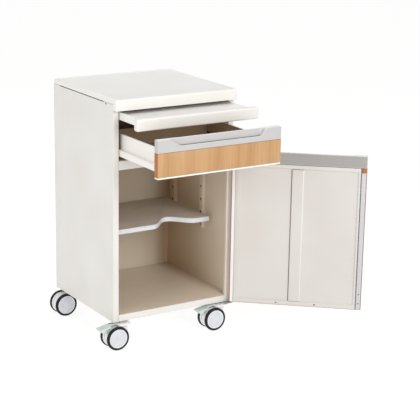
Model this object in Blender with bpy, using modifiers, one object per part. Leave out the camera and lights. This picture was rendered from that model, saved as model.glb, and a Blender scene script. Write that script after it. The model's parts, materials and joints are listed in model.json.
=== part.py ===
"""Hospital bedside cabinet: a steel body on four twin-wheel casters, with a moulded top,
a pull-out tray, a drawer and a door. Metres, +Z up, floor at z = 0, front towards -Y.
The origin is on the floor, under the middle of the body."""

import math

import bmesh
import bpy
from mathutils import Matrix

# ---- body ----
WIDTH = 0.450
DEPTH = 0.442                # over the top and the closed fronts
HEIGHT = 0.830
SHEET = 0.0012               # steel sheet
FIT = 0.0003                 # gap between pieces that touch
SIDE_FLANGE = 0.020          # front flange of a side panel
SIDE_RETURN = 0.014          # the flange's edge, folded back inside
REAR_FLANGE = 0.015

# ---- top ----
TOP_FRONT_SKIRT = 0.035
TOP_SIDE_SKIRT = 0.0165
TOP_WALL = 0.0035
TOP_RIM = 0.009
TOP_RECESS = 0.0025
TOP_CORNER = 0.005
TOP_FRAME_WIDTH = 0.022

# ---- fronts: tray lip, drawer front and door, stacked under the top's skirt ----
FRONT_THICK = 0.0201
FRONT_GAP = 0.0015           # between a front and the body behind it
FRONT_INSET = 0.0015         # from the body's side to a front's end
TRAY_LIP_DROP = 0.003        # below the top's skirt
TRAY_LIP_HEIGHT = 0.0375
DRAWER_FRONT_DROP = 0.0015   # below the tray's lip
DRAWER_FRONT_HEIGHT = 0.1208
DOOR_DROP = 0.0047           # below the drawer front, room for the upper hinge bracket
DOOR_RAISE = 0.0025          # the door's lower edge, above the body's
HANDLE_HEIGHT = 0.041
EDGE_STRIP_HEIGHT = 0.0055
BOARD_ROUND = 0.001
STRIP_ROUND = 0.0015

# ---- finger pull in the two handles ----
PULL_END = 0.0675            # from a front's end to the pull
PULL_DEPTH = 0.023           # from the handle's top down to its front lip
PULL_LIP = 0.003
PULL_GROOVE = 0.010
PULL_GROOVE_DEPTH = 0.012
PULL_BACK_DROP = 0.002

# ---- tray ----
TRAY_HEIGHT = 0.0245
TRAY_REAR_GAP = 0.0484       # behind the closed tray
TRAY_SIDE_GAP = 0.0025
TRAY_LIP_COVER = 0.004       # the lip's top stands above the tray's own top
TRAY_LIP_ROUND = 0.006
TRAY_BORDER = 0.004          # the tray's side and rear walls
TRAY_RECESS = 0.0155
TRAY_WALL = 0.003
TRAY_OUT = 0.130
RUNNER_LEDGE = 0.033
RUNNER_GAP = 0.0012

# ---- drawer ----
DRAWER_SIDE_HEIGHT = 0.071
DRAWER_RAISE = 0.0129        # from the front's lower edge up to the side's lower edge
DRAWER_REAR_GAP = 0.0541     # behind the closed drawer
DRAWER_LIP = 0.005
DRAWER_STEP = 0.010          # the runner stands this far outside the side's upper part
DRAWER_STEP_HEIGHT = 0.0219
DRAWER_SIDE_GAP = 0.002
DRAWER_OUT = 0.254
SLIDE_GAP = 0.0006
SLIDE_HEIGHT = 0.046

# ---- divider and base ----
DIVIDER_DROP = 0.0024        # below the drawer front
DIVIDER_RAIL = 0.0294
BASE_RAIL = 0.0226
BASE_RETURN = 0.050
DIVIDER_RETURN = 0.012

# ---- shelf ----
SHELF_HEIGHT = 0.2514        # from the cupboard's floor to the shelf's top
SHELF_THICK = 0.016
SHELF_GAP = 0.0015
SHELF_SETBACK = 0.1154       # from the body's front to the shelf's front edge
SHELF_REAR_GAP = 0.006
SHELF_NOTCH_X = 0.072
SHELF_NOTCH_HALF = 0.085
SHELF_NOTCH_DEPTH = 0.062
LIPPING = 0.002
CURVE_STEPS = 16
UPRIGHT_WIDTH = 0.024
UPRIGHT_DEPTH = 0.014
UPRIGHT_BELOW_SHELF = 0.056
UPRIGHT_TOP_GAP = 0.003
UPRIGHT_FRONT_SETBACK = 0.1714   # from the body's front to the front uprights' middle
UPRIGHT_REAR_SETBACK = 0.058     # from the back panel to the rear uprights' middle
HOLE_PITCH = 0.045
HOLE_EDGE = 0.012            # least distance from an upright's end to a hole
HOLE_RADIUS = 0.0026
HOLE_STEPS = 8
CLIP_PIN_RADIUS = 0.0019
CLIP_PIN_LENGTH = 0.006
CLIP_LENGTH = 0.010
CLIP_THICK = 0.004

# ---- door ----
HINGE_FROM_SIDE = 0.0059     # hinge axis, from the body's side
HINGE_FROM_FRONT = 0.0077    # and from the door's front face
DOOR_OPEN = math.radians(139.3)
DOOR_BOARD = 0.012
PAN_HINGE_EDGE = 0.006       # pan's edges, measured from the hinge axis
PAN_FREE_GAP = 0.0185
PAN_TOP_GAP = 0.001
PAN_BOTTOM_GAP = 0.004
PAN_RIM = 0.012
PAN_RECESS = 0.005
STIFFENER_FROM_HINGE = 0.195
STIFFENER_WIDTH = 0.043
STIFFENER_RISE = 0.004
STRIP_WIDTH = 0.0145
STRIP_FREE_GAP = 0.0022
STRIP_TOP_GAP = 0.0165
STRIP_PROUD = 0.0005
PIN_RADIUS = 0.003
PIN_CLEARANCE = 0.0004
PIN_IN_DOOR = 0.012
BRACKET_THICK = 0.0015
BRACKET_REACH = 0.030
BRACKET_LOWER_REACH = 0.055
BRACKET_LOWER_WIDTH = 0.024

# ---- casters ----
CASTER_INSET_X = 0.038
CASTER_FROM_FRONT = 0.0104   # from the steel body's front to the front swivels
CASTER_FROM_BACK = 0.032
CASTER_TRAIL = 0.028
WHEEL_RADIUS = 0.040
WHEEL_WIDTH = 0.0205
WHEEL_SIDE_GAP = 0.001
WHEEL_BORE_DEPTH = 0.012
WHEEL_DISH = 0.001
TYRE_BAND = 0.010
TYRE_SHOULDER = 0.004
TYRE_CROWN = 0.001
TYRE_ROUND = 0.003
HOUSING_WIDTH = 0.013
HOUSING_RADIUS = 0.031
HOOD_LENGTH = 0.046
HOOD_WIDTH = 0.050
HOOD_THICK = 0.005
HOOD_ROUND = 0.002
HOOD_OVER_WHEEL = 0.0015
NECK_HALF_LENGTH = 0.0184
AXLE_RADIUS = 0.004
AXLE_CLEARANCE = 0.0006
AXLE_END_GAP = 0.001
STEM_RADIUS = 0.006
STEM_CLEARANCE = 0.0005
STEM_IN_HOUSING = 0.014
STEM_IN_BODY = 0.012
COLLAR_RADIUS = 0.011
COLLAR_HEIGHT = 0.0055       # from the hood's top to the body
COLLAR_GAP = 0.0005
PEDAL_PIVOT_BACK = 0.0265
PEDAL_HEEL = 0.001
PEDAL_REACH = 0.088
PEDAL_ARM_WIDTH = 0.012
PEDAL_PAD_START = 0.046
PEDAL_PAD_WIDTH = 0.034
PEDAL_THICK = 0.004
PEDAL_ROUND = 0.001
PEDAL_DROOP = math.radians(8.0)
ROUND_STEPS = 24
EMPTY_SIZE = 0.03

# ---- places worked out from the sizes above ----
HALF = WIDTH / 2
FRONT_Y = -DEPTH / 2                      # front face of the top and of the closed fronts
FRONT_BACK_Y = FRONT_Y + FRONT_THICK      # rear face of a closed front
BODY_FRONT = FRONT_BACK_Y + FRONT_GAP
BACK_Y = DEPTH / 2
FRONT_HALF = HALF - FRONT_INSET
OPENING_HALF = HALF - SIDE_FLANGE
INNER_HALF = HALF - SHEET - FIT           # just inside the side panels
PANEL_REAR = BACK_Y - SHEET - FIT
PULL_HALF = FRONT_HALF - PULL_END
HOOD_BOTTOM = 2 * WHEEL_RADIUS + HOOD_OVER_WHEEL
HOOD_TOP = HOOD_BOTTOM + HOOD_THICK
BODY_BOTTOM = HOOD_TOP + COLLAR_HEIGHT    # underside of the steel body
BASE_TOP = BODY_BOTTOM + BASE_RAIL
SHELF_TOP = BASE_TOP + SHELF_HEIGHT
SHELF_FRONT = BODY_FRONT + SHELF_SETBACK
SKIRT_BOTTOM = HEIGHT - TOP_FRONT_SKIRT
PANEL_TOP = HEIGHT - TOP_SIDE_SKIRT - FIT
TRAY_LIP_TOP = SKIRT_BOTTOM - TRAY_LIP_DROP
TRAY_LIP_BOTTOM = TRAY_LIP_TOP - TRAY_LIP_HEIGHT
TRAY_BACK = PANEL_REAR - TRAY_REAR_GAP
DRAWER_FRONT_TOP = TRAY_LIP_BOTTOM - DRAWER_FRONT_DROP
DRAWER_FRONT_BOTTOM = DRAWER_FRONT_TOP - DRAWER_FRONT_HEIGHT
DRAWER_BACK = PANEL_REAR - DRAWER_REAR_GAP
DIVIDER_TOP = DRAWER_FRONT_BOTTOM - DIVIDER_DROP
DIVIDER_BOTTOM = DIVIDER_TOP - DIVIDER_RAIL
DOOR_TOP = DRAWER_FRONT_BOTTOM - DOOR_DROP
DOOR_BOTTOM = BODY_BOTTOM + DOOR_RAISE
HINGE_X = HALF - HINGE_FROM_SIDE
HINGE_Y = FRONT_Y + HINGE_FROM_FRONT
WHEEL_INNER = HOUSING_WIDTH / 2 + WHEEL_SIDE_GAP


# ---------- scene and materials ----------

def clear_scene():
    for thing in list(bpy.data.objects):
        bpy.data.objects.remove(thing, do_unlink=True)


def new_collection(name):
    made = bpy.data.collections.new(name)
    bpy.context.scene.collection.children.link(made)
    return made


def new_material(name, colour, roughness, metallic=0.0):
    made = bpy.data.materials.new(name)
    made.use_nodes = True
    shader = made.node_tree.nodes["Principled BSDF"]
    shader.inputs["Base Color"].default_value = (*colour, 1.0)
    shader.inputs["Roughness"].default_value = roughness
    shader.inputs["Metallic"].default_value = metallic
    made.diffuse_color = (*colour, 1.0)
    return made


clear_scene()
PARTS = new_collection("bedside_cabinet")
CUTTERS = new_collection("cutters")
PAINT = new_material("cream_paint", (0.80, 0.78, 0.73), 0.40)
ABS = new_material("white_abs", (0.88, 0.87, 0.84), 0.35)
GREY = new_material("grey_moulding", (0.62, 0.61, 0.60), 0.40)
WOOD = new_material("beech_laminate", (0.66, 0.40, 0.20), 0.50)
SHELF = new_material("shelf_laminate", (0.45, 0.40, 0.36), 0.55)
TYRE = new_material("dark_tyre", (0.02, 0.02, 0.03), 0.60)
STEEL = new_material("bright_steel", (0.55, 0.55, 0.55), 0.30, 1.0)
PEDAL = new_material("pale_green_plastic", (0.55, 0.63, 0.60), 0.45)


# ---------- shapes ----------

def place(name, shape, material, carrier=None):
    """Make an object from a bmesh whose places are those of the closed cabinet."""
    mesh = bpy.data.meshes.new(name)
    shape.to_mesh(mesh)
    shape.free()
    thing = bpy.data.objects.new(name, mesh)
    thing.data.materials.append(material)
    PARTS.objects.link(thing)
    if carrier:
        thing.parent = carrier
        thing.matrix_parent_inverse = Matrix.Translation(carrier.location).inverted()
    return thing


def box_shape(low, high):
    shape = bmesh.new()
    size = [h - l for l, h in zip(low, high)]
    middle = [(l + h) / 2 for l, h in zip(low, high)]
    bmesh.ops.create_cube(shape, size=1.0)
    bmesh.ops.scale(shape, vec=size, verts=shape.verts)
    bmesh.ops.translate(shape, vec=middle, verts=shape.verts)
    return shape


def cylinder_shape(centre, radius, low, high, axis="Z", steps=ROUND_STEPS):
    """A cylinder along one axis, from low to high on it."""
    turn = {"X": Matrix.Rotation(math.pi / 2, 4, "Y"),
            "Y": Matrix.Rotation(math.pi / 2, 4, "X"),
            "Z": Matrix.Identity(4)}[axis]
    middle = list(centre)
    middle["XYZ".index(axis)] = (low + high) / 2
    shape = bmesh.new()
    bmesh.ops.create_cone(shape, cap_ends=True, segments=steps, radius1=radius,
                          radius2=radius, depth=high - low,
                          matrix=Matrix.Translation(middle) @ turn)
    return shape


def outline_shape(points, low, high):
    """An upright prism over an outline in X and Y."""
    shape = bmesh.new()
    face = shape.faces.new([shape.verts.new((x, y, low)) for x, y in points])
    bmesh.ops.recalc_face_normals(shape, faces=[face])
    grown = bmesh.ops.extrude_face_region(shape, geom=[face])
    lifted = [item for item in grown["geom"] if isinstance(item, bmesh.types.BMVert)]
    bmesh.ops.translate(shape, vec=(0, 0, high - low), verts=lifted)
    bmesh.ops.recalc_face_normals(shape, faces=shape.faces)
    return shape


def round_edges(thing, width, segments=3, angle=math.radians(40)):
    bevel = thing.modifiers.new("round_edges", "BEVEL")
    bevel.width = width
    bevel.segments = segments
    bevel.limit_method = "ANGLE"
    bevel.angle_limit = angle
    return thing


def box(name, low, high, material, carrier=None):
    return place(name, box_shape(low, high), material, carrier)


def boolean(thing, shape, operation, name):
    """Cut a shape from an object, or join it on. The shape rides on the object's carrier."""
    other = place(f"{thing.name}_{name}", shape, thing.data.materials[0], thing.parent)
    PARTS.objects.unlink(other)
    CUTTERS.objects.link(other)
    other.hide_render = True
    other.display_type = "WIRE"
    step = thing.modifiers.new(name, "BOOLEAN")
    step.operation = operation
    step.object = other
    return other


def cut(thing, shape, name):
    return boolean(thing, shape, "DIFFERENCE", name)


def join(thing, shape, name):
    return boolean(thing, shape, "UNION", name)


def folded_sheet(name, path, plane, start, end, material, carrier=None, thick=SHEET):
    """Sheet bent along a path in one plane ("XY", "XZ" or "YZ") and drawn out along the
    third axis. Its thickness lies on the left of the path."""
    first, second = ("XYZ".index(letter) for letter in plane)
    third = 3 - first - second

    def at(point, along):
        where = [0.0, 0.0, 0.0]
        where[first], where[second] = point
        where[third] = along
        return where

    shape = bmesh.new()
    near = [shape.verts.new(at(point, start)) for point in path]
    far = [shape.verts.new(at(point, end)) for point in path]
    for i in range(len(path) - 1):
        shape.faces.new((near[i], near[i + 1], far[i + 1], far[i]))
    thing = place(name, shape, material, carrier)
    wall = thing.modifiers.new("sheet", "SOLIDIFY")
    wall.thickness = thick
    wall.offset = 1.0 if plane == "XZ" else -1.0
    wall.use_even_offset = True
    return thing


def turned(name, profile, material, carrier, steps=ROUND_STEPS):
    """A solid of revolution about the object's own Z, from (radius, height) points."""
    shape = bmesh.new()
    points = [shape.verts.new((radius, 0.0, height)) for radius, height in profile]
    for a, b in zip(points, points[1:]):
        shape.edges.new((a, b))
    mesh = bpy.data.meshes.new(name)
    shape.to_mesh(mesh)
    shape.free()
    thing = bpy.data.objects.new(name, mesh)
    thing.data.materials.append(material)
    PARTS.objects.link(thing)
    thing.parent = carrier
    spin = thing.modifiers.new("turn", "SCREW")
    spin.steps = steps
    spin.render_steps = steps
    spin.use_merge_vertices = True
    spin.merge_threshold = 0.00001
    return thing


def mirrored(path):
    """The same path on the cabinet's other side, run the other way round."""
    return [(-x, other) for x, other in reversed(path)]


def carrier_at(name, where, parent=None):
    """An empty on a joint's axis."""
    made = bpy.data.objects.new(name, None)
    made.empty_display_size = EMPTY_SIZE
    made.location = where
    made.parent = parent
    PARTS.objects.link(made)
    return made


# ---------- steel body ----------

def make_side_panels():
    rear = PANEL_REAR
    left = [(-HALF + REAR_FLANGE, rear), (-HALF, rear), (-HALF, BODY_FRONT),
            (-OPENING_HALF, BODY_FRONT), (-OPENING_HALF, BODY_FRONT + SIDE_RETURN)]
    folded_sheet("side_panel_left", left, "XY", BODY_BOTTOM, PANEL_TOP, PAINT)
    folded_sheet("side_panel_right", mirrored(left), "XY", BODY_BOTTOM, PANEL_TOP, PAINT)


def make_back_panel():
    box("back_panel", (-HALF + FIT, BACK_Y - SHEET, BODY_BOTTOM),
        (HALF - FIT, BACK_Y, PANEL_TOP), PAINT)


def notch_front_corners(thing, low, high):
    """Clear the side panels' folded front edges."""
    edge = OPENING_HALF - FIT
    back = BODY_FRONT + SIDE_RETURN + FIT
    for name, side in (("left", -1), ("right", 1)):
        x0, x1 = sorted((side * edge, side * (HALF + SHEET)))
        cut(thing, box_shape((x0, BODY_FRONT - SHEET, low - SHEET), (x1, back, high + SHEET)),
            f"corner_{name}")


def make_base():
    """Cupboard floor with a front rail, folded under at the front and the back."""
    front = BODY_FRONT
    back = PANEL_REAR - SHEET - FIT
    path = [(front + BASE_RETURN, BODY_BOTTOM), (front, BODY_BOTTOM), (front, BASE_TOP),
            (back, BASE_TOP), (back, BODY_BOTTOM), (back - BASE_RETURN, BODY_BOTTOM)]
    base = folded_sheet("base_panel", path[::-1], "YZ", -INNER_HALF, INNER_HALF, PAINT)
    notch_front_corners(base, BODY_BOTTOM, BASE_TOP)
    for name, (x, y) in caster_places().items():
        cut(base, cylinder_shape((x, y, 0), STEM_RADIUS + STEM_CLEARANCE,
                                 BODY_BOTTOM - SHEET, BODY_BOTTOM + 2 * SHEET), f"{name}_hole")


def make_divider():
    """Floor of the drawer's compartment, with its front rail."""
    front = BODY_FRONT
    back = PANEL_REAR - SHEET - FIT
    path = [(front + DIVIDER_RETURN, DIVIDER_BOTTOM), (front, DIVIDER_BOTTOM),
            (front, DIVIDER_TOP), (back, DIVIDER_TOP), (back, DIVIDER_TOP - DIVIDER_RETURN)]
    divider = folded_sheet("divider_panel", path[::-1], "YZ", -INNER_HALF, INNER_HALF, PAINT)
    notch_front_corners(divider, DIVIDER_BOTTOM, DIVIDER_TOP)


def make_top_frame():
    """Flat steel frame that ties the body together under the moulded top."""
    half = HALF - TOP_WALL - FIT
    low, high = PANEL_TOP + FIT, HEIGHT - TOP_RECESS - TOP_WALL - FIT
    front, back = BODY_FRONT, BACK_Y - TOP_WALL - FIT
    frame = box("top_frame", (-half, front, low), (half, back, high), PAINT)
    inner = TOP_FRAME_WIDTH
    cut(frame, box_shape((-half + inner, front + inner, low - SHEET),
                         (half - inner, back - inner, high + SHEET)), "middle")


def make_top():
    """Moulded top: a deep skirt in front, a shallow one on the other sides, and a raised
    rim round a recessed surface."""
    below = SKIRT_BOTTOM - 2 * TOP_CORNER
    top = box("top_cover", (-HALF, FRONT_Y, below), (HALF, BACK_Y, HEIGHT), ABS)
    round_edges(top, TOP_CORNER)
    skirt = HEIGHT - TOP_SIDE_SKIRT
    spare = TOP_WALL
    cut(top, box_shape((-HALF - spare, FRONT_Y - spare, below - spare),
                       (HALF + spare, BACK_Y + spare, SKIRT_BOTTOM)), "front_skirt")
    cut(top, box_shape((-HALF - spare, BODY_FRONT, SKIRT_BOTTOM - spare),
                       (HALF + spare, BACK_Y + spare, skirt)), "side_skirts")
    cut(top, box_shape((-HALF + TOP_WALL, FRONT_Y + TOP_WALL, SKIRT_BOTTOM - spare),
                       (HALF - TOP_WALL, BACK_Y - TOP_WALL, HEIGHT - TOP_RECESS - TOP_WALL)),
        "hollow")
    recess = cut(top, box_shape((-HALF + TOP_RIM, FRONT_Y + TOP_RIM, HEIGHT - TOP_RECESS),
                                (HALF - TOP_RIM, BACK_Y - TOP_RIM, HEIGHT + TOP_RIM)), "recess")
    round_edges(recess, TOP_RECESS, 2)


# ---------- tray ----------

def make_tray(carrier):
    """One moulding: a shallow tray with a full-width front lip."""
    half = OPENING_HALF - TRAY_SIDE_GAP
    high = TRAY_LIP_TOP - TRAY_LIP_COVER
    low = high - TRAY_HEIGHT
    back = TRAY_BACK
    lip = box("tray", (-FRONT_HALF, FRONT_Y, TRAY_LIP_BOTTOM),
              (FRONT_HALF, FRONT_BACK_Y, TRAY_LIP_TOP), ABS, carrier)
    round_edges(lip, TRAY_LIP_ROUND, 4)
    join(lip, box_shape((-half, FRONT_BACK_Y - TRAY_WALL, low), (half, back, high)), "body")
    floor = high - TRAY_RECESS
    cut(lip, box_shape((-half + TRAY_BORDER, FRONT_BACK_Y + TRAY_BORDER, floor),
                       (half - TRAY_BORDER, back - TRAY_BORDER, high + TRAY_WALL)), "recess")
    cut(lip, box_shape((-half + TRAY_WALL, FRONT_BACK_Y + TRAY_WALL, low - TRAY_WALL),
                       (half - TRAY_WALL, back - TRAY_WALL, floor - TRAY_WALL)), "underside")


def make_tray_runners():
    """Channels on the side panels, open towards the tray."""
    top = TRAY_LIP_TOP - TRAY_LIP_COVER + RUNNER_GAP
    low = top - TRAY_HEIGHT - 2 * RUNNER_GAP
    reach = INNER_HALF - RUNNER_LEDGE
    left = [(-reach, top + SHEET), (-INNER_HALF, top + SHEET), (-INNER_HALF, low - SHEET),
            (-reach, low - SHEET)]
    start = BODY_FRONT + SIDE_RETURN + SHEET
    end = TRAY_BACK + SHEET
    folded_sheet("tray_runner_left", left, "XZ", start, end, PAINT)
    folded_sheet("tray_runner_right", mirrored(left), "XZ", start, end, PAINT)


# ---------- drawer ----------

def make_handle(name, top, half, carrier):
    """Moulded cap along a front's upper edge, with a finger pull let into it."""
    low = top - HANDLE_HEIGHT + FIT
    handle = box(name, (-half, FRONT_Y, low), (half, FRONT_BACK_Y, top), GREY, carrier)
    round_edges(handle, PULL_LIP, 3)
    lip_top = top - PULL_DEPTH
    groove_front = FRONT_Y + PULL_LIP
    groove_back = groove_front + PULL_GROOVE
    spare = PULL_GROOVE
    scoop = cut(handle, box_shape((-PULL_HALF, FRONT_Y - spare, lip_top),
                                  (PULL_HALF, groove_back, top + spare)), "scoop")
    round_edges(scoop, PULL_LIP, 3)
    cut(handle, box_shape((-PULL_HALF + PULL_LIP, groove_front,
                           lip_top - PULL_GROOVE_DEPTH),
                          (PULL_HALF - PULL_LIP, groove_back, top + spare)), "groove")
    cut(handle, box_shape((-PULL_HALF + PULL_LIP, groove_back - PULL_LIP,
                           top - PULL_BACK_DROP),
                          (PULL_HALF - PULL_LIP, FRONT_BACK_Y + spare, top + spare)),
        "low_back")
    return handle


def make_drawer(carrier):
    bottom, top = DRAWER_FRONT_BOTTOM, DRAWER_FRONT_TOP
    half = FRONT_HALF
    wood_low = bottom + EDGE_STRIP_HEIGHT + FIT
    board = box("drawer_front", (-half, FRONT_Y, wood_low),
                (half, FRONT_BACK_Y, top - HANDLE_HEIGHT), WOOD, carrier)
    round_edges(board, BOARD_ROUND, 1)
    strip = box("drawer_edge_strip", (-half, FRONT_Y, bottom),
                (half, FRONT_BACK_Y, wood_low - FIT), ABS, carrier)
    round_edges(strip, STRIP_ROUND, 2)
    make_handle("drawer_handle", top, half, carrier)

    outer = OPENING_HALF - DRAWER_SIDE_GAP
    inner = outer - DRAWER_STEP
    low = bottom + DRAWER_RAISE
    high = low + DRAWER_SIDE_HEIGHT
    start = FRONT_BACK_Y + FIT
    end = DRAWER_BACK
    left = [(-inner + DRAWER_LIP, high), (-inner, high), (-inner, low + DRAWER_STEP_HEIGHT),
            (-outer, low + DRAWER_STEP_HEIGHT), (-outer, low), (-inner, low)]
    folded_sheet("drawer_side_left", left, "XZ", start, end, PAINT, carrier)
    folded_sheet("drawer_side_right", mirrored(left), "XZ", start, end, PAINT, carrier)

    floor = low + SHEET + FIT
    between = inner - SHEET - FIT
    box("drawer_bottom", (-between, start, floor), (between, end - SHEET - FIT, floor + SHEET),
        PAINT, carrier)
    box("drawer_back", (-between, end - SHEET, low), (between, end, high - 2 * DRAWER_LIP),
        PAINT, carrier)


def make_drawer_slides():
    """Steel angles on the side panels that the drawer's runners slide on."""
    low = DRAWER_FRONT_BOTTOM + DRAWER_RAISE - SLIDE_GAP
    reach = OPENING_HALF - DRAWER_SIDE_GAP - DRAWER_STEP + SHEET
    high = low + SLIDE_HEIGHT
    left = [(-OPENING_HALF, high), (-INNER_HALF, high), (-INNER_HALF, low - SHEET),
            (-reach, low - SHEET)]
    start = BODY_FRONT + SIDE_RETURN + SHEET
    end = DRAWER_BACK
    folded_sheet("drawer_slide_left", left, "XZ", start, end, STEEL)
    folded_sheet("drawer_slide_right", mirrored(left), "XZ", start, end, STEEL)


# ---------- shelf ----------

def shelf_half():
    return INNER_HALF - UPRIGHT_DEPTH - SHELF_GAP


def notch_depth(x):
    """How far the shelf's front edge steps back at x, as a smooth bay."""
    away = (x - SHELF_NOTCH_X) / SHELF_NOTCH_HALF
    if abs(away) >= 1:
        return 0.0
    return SHELF_NOTCH_DEPTH * (1 + math.cos(math.pi * away)) / 2


def shelf_front_edge():
    """Points along the front edge, from left to right."""
    half = shelf_half()
    bay = [SHELF_NOTCH_X + SHELF_NOTCH_HALF * (2 * i / CURVE_STEPS - 1)
           for i in range(CURVE_STEPS + 1)]
    return [(x, SHELF_FRONT + notch_depth(x)) for x in [-half] + bay + [half]]


def make_shelf():
    half = shelf_half()
    back = PANEL_REAR - SHELF_REAR_GAP
    low = SHELF_TOP - SHELF_THICK
    front = shelf_front_edge()
    place("shelf_board", outline_shape(front + [(half, back), (-half, back)], low, SHELF_TOP),
          SHELF)
    edge = [(x, y - 2 * FIT) for x, y in reversed(front)]
    folded_sheet("shelf_lipping", edge, "XY", low, SHELF_TOP, ABS, thick=LIPPING)


def make_uprights():
    """Perforated channels on the side panels, with a clip in each under the shelf."""
    wall, face = INNER_HALF, INNER_HALF - UPRIGHT_DEPTH
    bottom = SHELF_TOP - UPRIGHT_BELOW_SHELF
    top = DIVIDER_BOTTOM - UPRIGHT_TOP_GAP
    clip_hole = SHELF_TOP - SHELF_THICK - CLIP_THICK / 2 - FIT
    below = int((clip_hole - bottom - HOLE_EDGE) / HOLE_PITCH)
    above = int((top - clip_hole - HOLE_EDGE) / HOLE_PITCH)
    heights = [clip_hole + i * HOLE_PITCH for i in range(-below, above + 1)]
    places = {"front": BODY_FRONT + UPRIGHT_FRONT_SETBACK,
              "rear": PANEL_REAR - UPRIGHT_REAR_SETBACK}
    for depth_name, y in places.items():
        near, far = y - UPRIGHT_WIDTH / 2, y + UPRIGHT_WIDTH / 2
        right = [(wall, near), (face, near), (face, far), (wall, far)]
        for side_name, side in (("left", -1), ("right", 1)):
            path = right[::-1] if side > 0 else mirrored(right)[::-1]
            upright = folded_sheet(f"shelf_upright_{depth_name}_{side_name}", path, "XY",
                                   bottom, top, PAINT)
            ends = sorted((side * (face - SHEET), side * (face + 2 * SHEET)))
            for i, z in enumerate(heights):
                cut(upright, cylinder_shape((0, y, z), HOLE_RADIUS, *ends, "X", HOLE_STEPS),
                    f"hole_{i}")
            make_clip(f"shelf_clip_{depth_name}_{side_name}", side, y, clip_hole, face)


def make_clip(name, side, y, z, face):
    """Pin in the upright's hole, with a block that the shelf rests on."""
    ends = sorted((side * (face - FIT), side * (face - CLIP_LENGTH)))
    low = (ends[0], y - CLIP_LENGTH / 2, z - CLIP_THICK / 2)
    high = (ends[1], y + CLIP_LENGTH / 2, z + CLIP_THICK / 2)
    clip = box(name, low, high, STEEL)
    pin = sorted((side * (face - SHEET), side * (face + CLIP_PIN_LENGTH)))
    join(clip, cylinder_shape((0, y, z), CLIP_PIN_RADIUS, *pin, "X", HOLE_STEPS), "pin")


# ---------- door ----------

def make_door(carrier):
    """Modelled closed. Its pieces turn with the carrier on the hinge axis."""
    half = FRONT_HALF
    free = -half
    wood_top = DOOR_TOP - HANDLE_HEIGHT
    board_back = FRONT_Y + DOOR_BOARD
    pin_hole = PIN_RADIUS + PIN_CLEARANCE / 2

    board = box("door_front", (free, FRONT_Y, DOOR_BOTTOM), (half, board_back, wood_top),
                WOOD, carrier)
    round_edges(board, BOARD_ROUND, 1)
    cut(board, cylinder_shape((HINGE_X, HINGE_Y, 0), pin_hole, DOOR_BOTTOM - PIN_IN_DOOR,
                              DOOR_BOTTOM + PIN_IN_DOOR), "pin_hole")
    handle = make_handle("door_handle", DOOR_TOP, half, carrier)
    cut(handle, cylinder_shape((HINGE_X, HINGE_Y, 0), pin_hole, DOOR_TOP - PIN_IN_DOOR,
                               DOOR_TOP + PIN_IN_DOOR), "pin_hole")

    front = board_back + FIT
    pan_left, pan_right = free + PAN_FREE_GAP, HINGE_X - PAN_HINGE_EDGE
    pan_low, pan_high = DOOR_BOTTOM + PAN_BOTTOM_GAP, wood_top - PAN_TOP_GAP
    pan = box("door_pan", (pan_left, front, pan_low), (pan_right, FRONT_BACK_Y, pan_high),
              PAINT, carrier)
    recess = FRONT_BACK_Y - PAN_RECESS
    cut(pan, box_shape((pan_left + PAN_RIM / 2, recess, pan_low + PAN_RIM),
                       (pan_right - PAN_RIM, FRONT_BACK_Y + PAN_RECESS, pan_high - PAN_RIM)),
        "recess")

    right = HINGE_X - STIFFENER_FROM_HINGE
    left = right - STIFFENER_WIDTH
    near, far = recess + FIT, recess + FIT + STIFFENER_RISE
    gap = PAN_RIM + FIT
    folded_sheet("door_stiffener", [(left, near), (left, far), (right, far), (right, near)][::-1],
                 "XY", pan_low + gap, pan_high - gap, PAINT, carrier)

    strip = box("door_edge_strip", (free + STRIP_FREE_GAP, front, pan_low),
                (free + STRIP_FREE_GAP + STRIP_WIDTH, FRONT_BACK_Y + STRIP_PROUD,
                 wood_top - STRIP_TOP_GAP), ABS, carrier)
    round_edges(strip, BOARD_ROUND, 2)

    low = BODY_BOTTOM - FIT - BRACKET_THICK - SHEET
    place("hinge_pin_lower", cylinder_shape((HINGE_X, HINGE_Y, 0), PIN_RADIUS, low,
                                            DOOR_BOTTOM + PIN_IN_DOOR - SHEET), STEEL, carrier)
    place("hinge_pin_upper", cylinder_shape((HINGE_X, HINGE_Y, 0), PIN_RADIUS,
                                            DOOR_TOP - PIN_IN_DOOR + SHEET,
                                            DRAWER_FRONT_BOTTOM - 3 * FIT), STEEL, carrier)


def make_hinge_brackets():
    """Steel plates on the body that the door's pins turn in."""
    hole = PIN_RADIUS + PIN_CLEARANCE
    tip = FRONT_Y + SHEET
    side = HALF - FIT
    step = BODY_FRONT - FIT
    inner = OPENING_HALF - 2 * FIT
    low = DIVIDER_TOP + FIT
    plan = [(inner - BRACKET_REACH, tip), (side, tip), (side, step), (inner, step),
            (inner, step + BRACKET_REACH), (inner - BRACKET_REACH, step + BRACKET_REACH)]
    upper = place("hinge_bracket_upper", outline_shape(plan, low, low + BRACKET_THICK), STEEL)
    high = BODY_BOTTOM - FIT
    lower = box("hinge_bracket_lower", (side - BRACKET_LOWER_WIDTH, tip, high - BRACKET_THICK),
                (side, tip + BRACKET_LOWER_REACH, high), STEEL)
    for bracket, z in ((upper, low), (lower, high)):
        cut(bracket, cylinder_shape((HINGE_X, HINGE_Y, 0), hole, z - 2 * BRACKET_THICK,
                                    z + 2 * BRACKET_THICK), "pin_hole")


# ---------- casters ----------

def caster_places():
    x = HALF - CASTER_INSET_X
    front, rear = BODY_FRONT + CASTER_FROM_FRONT, BACK_Y - CASTER_FROM_BACK
    return {"front_left": (-x, front), "front_right": (x, front),
            "rear_left": (-x, rear), "rear_right": (x, rear)}


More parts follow.
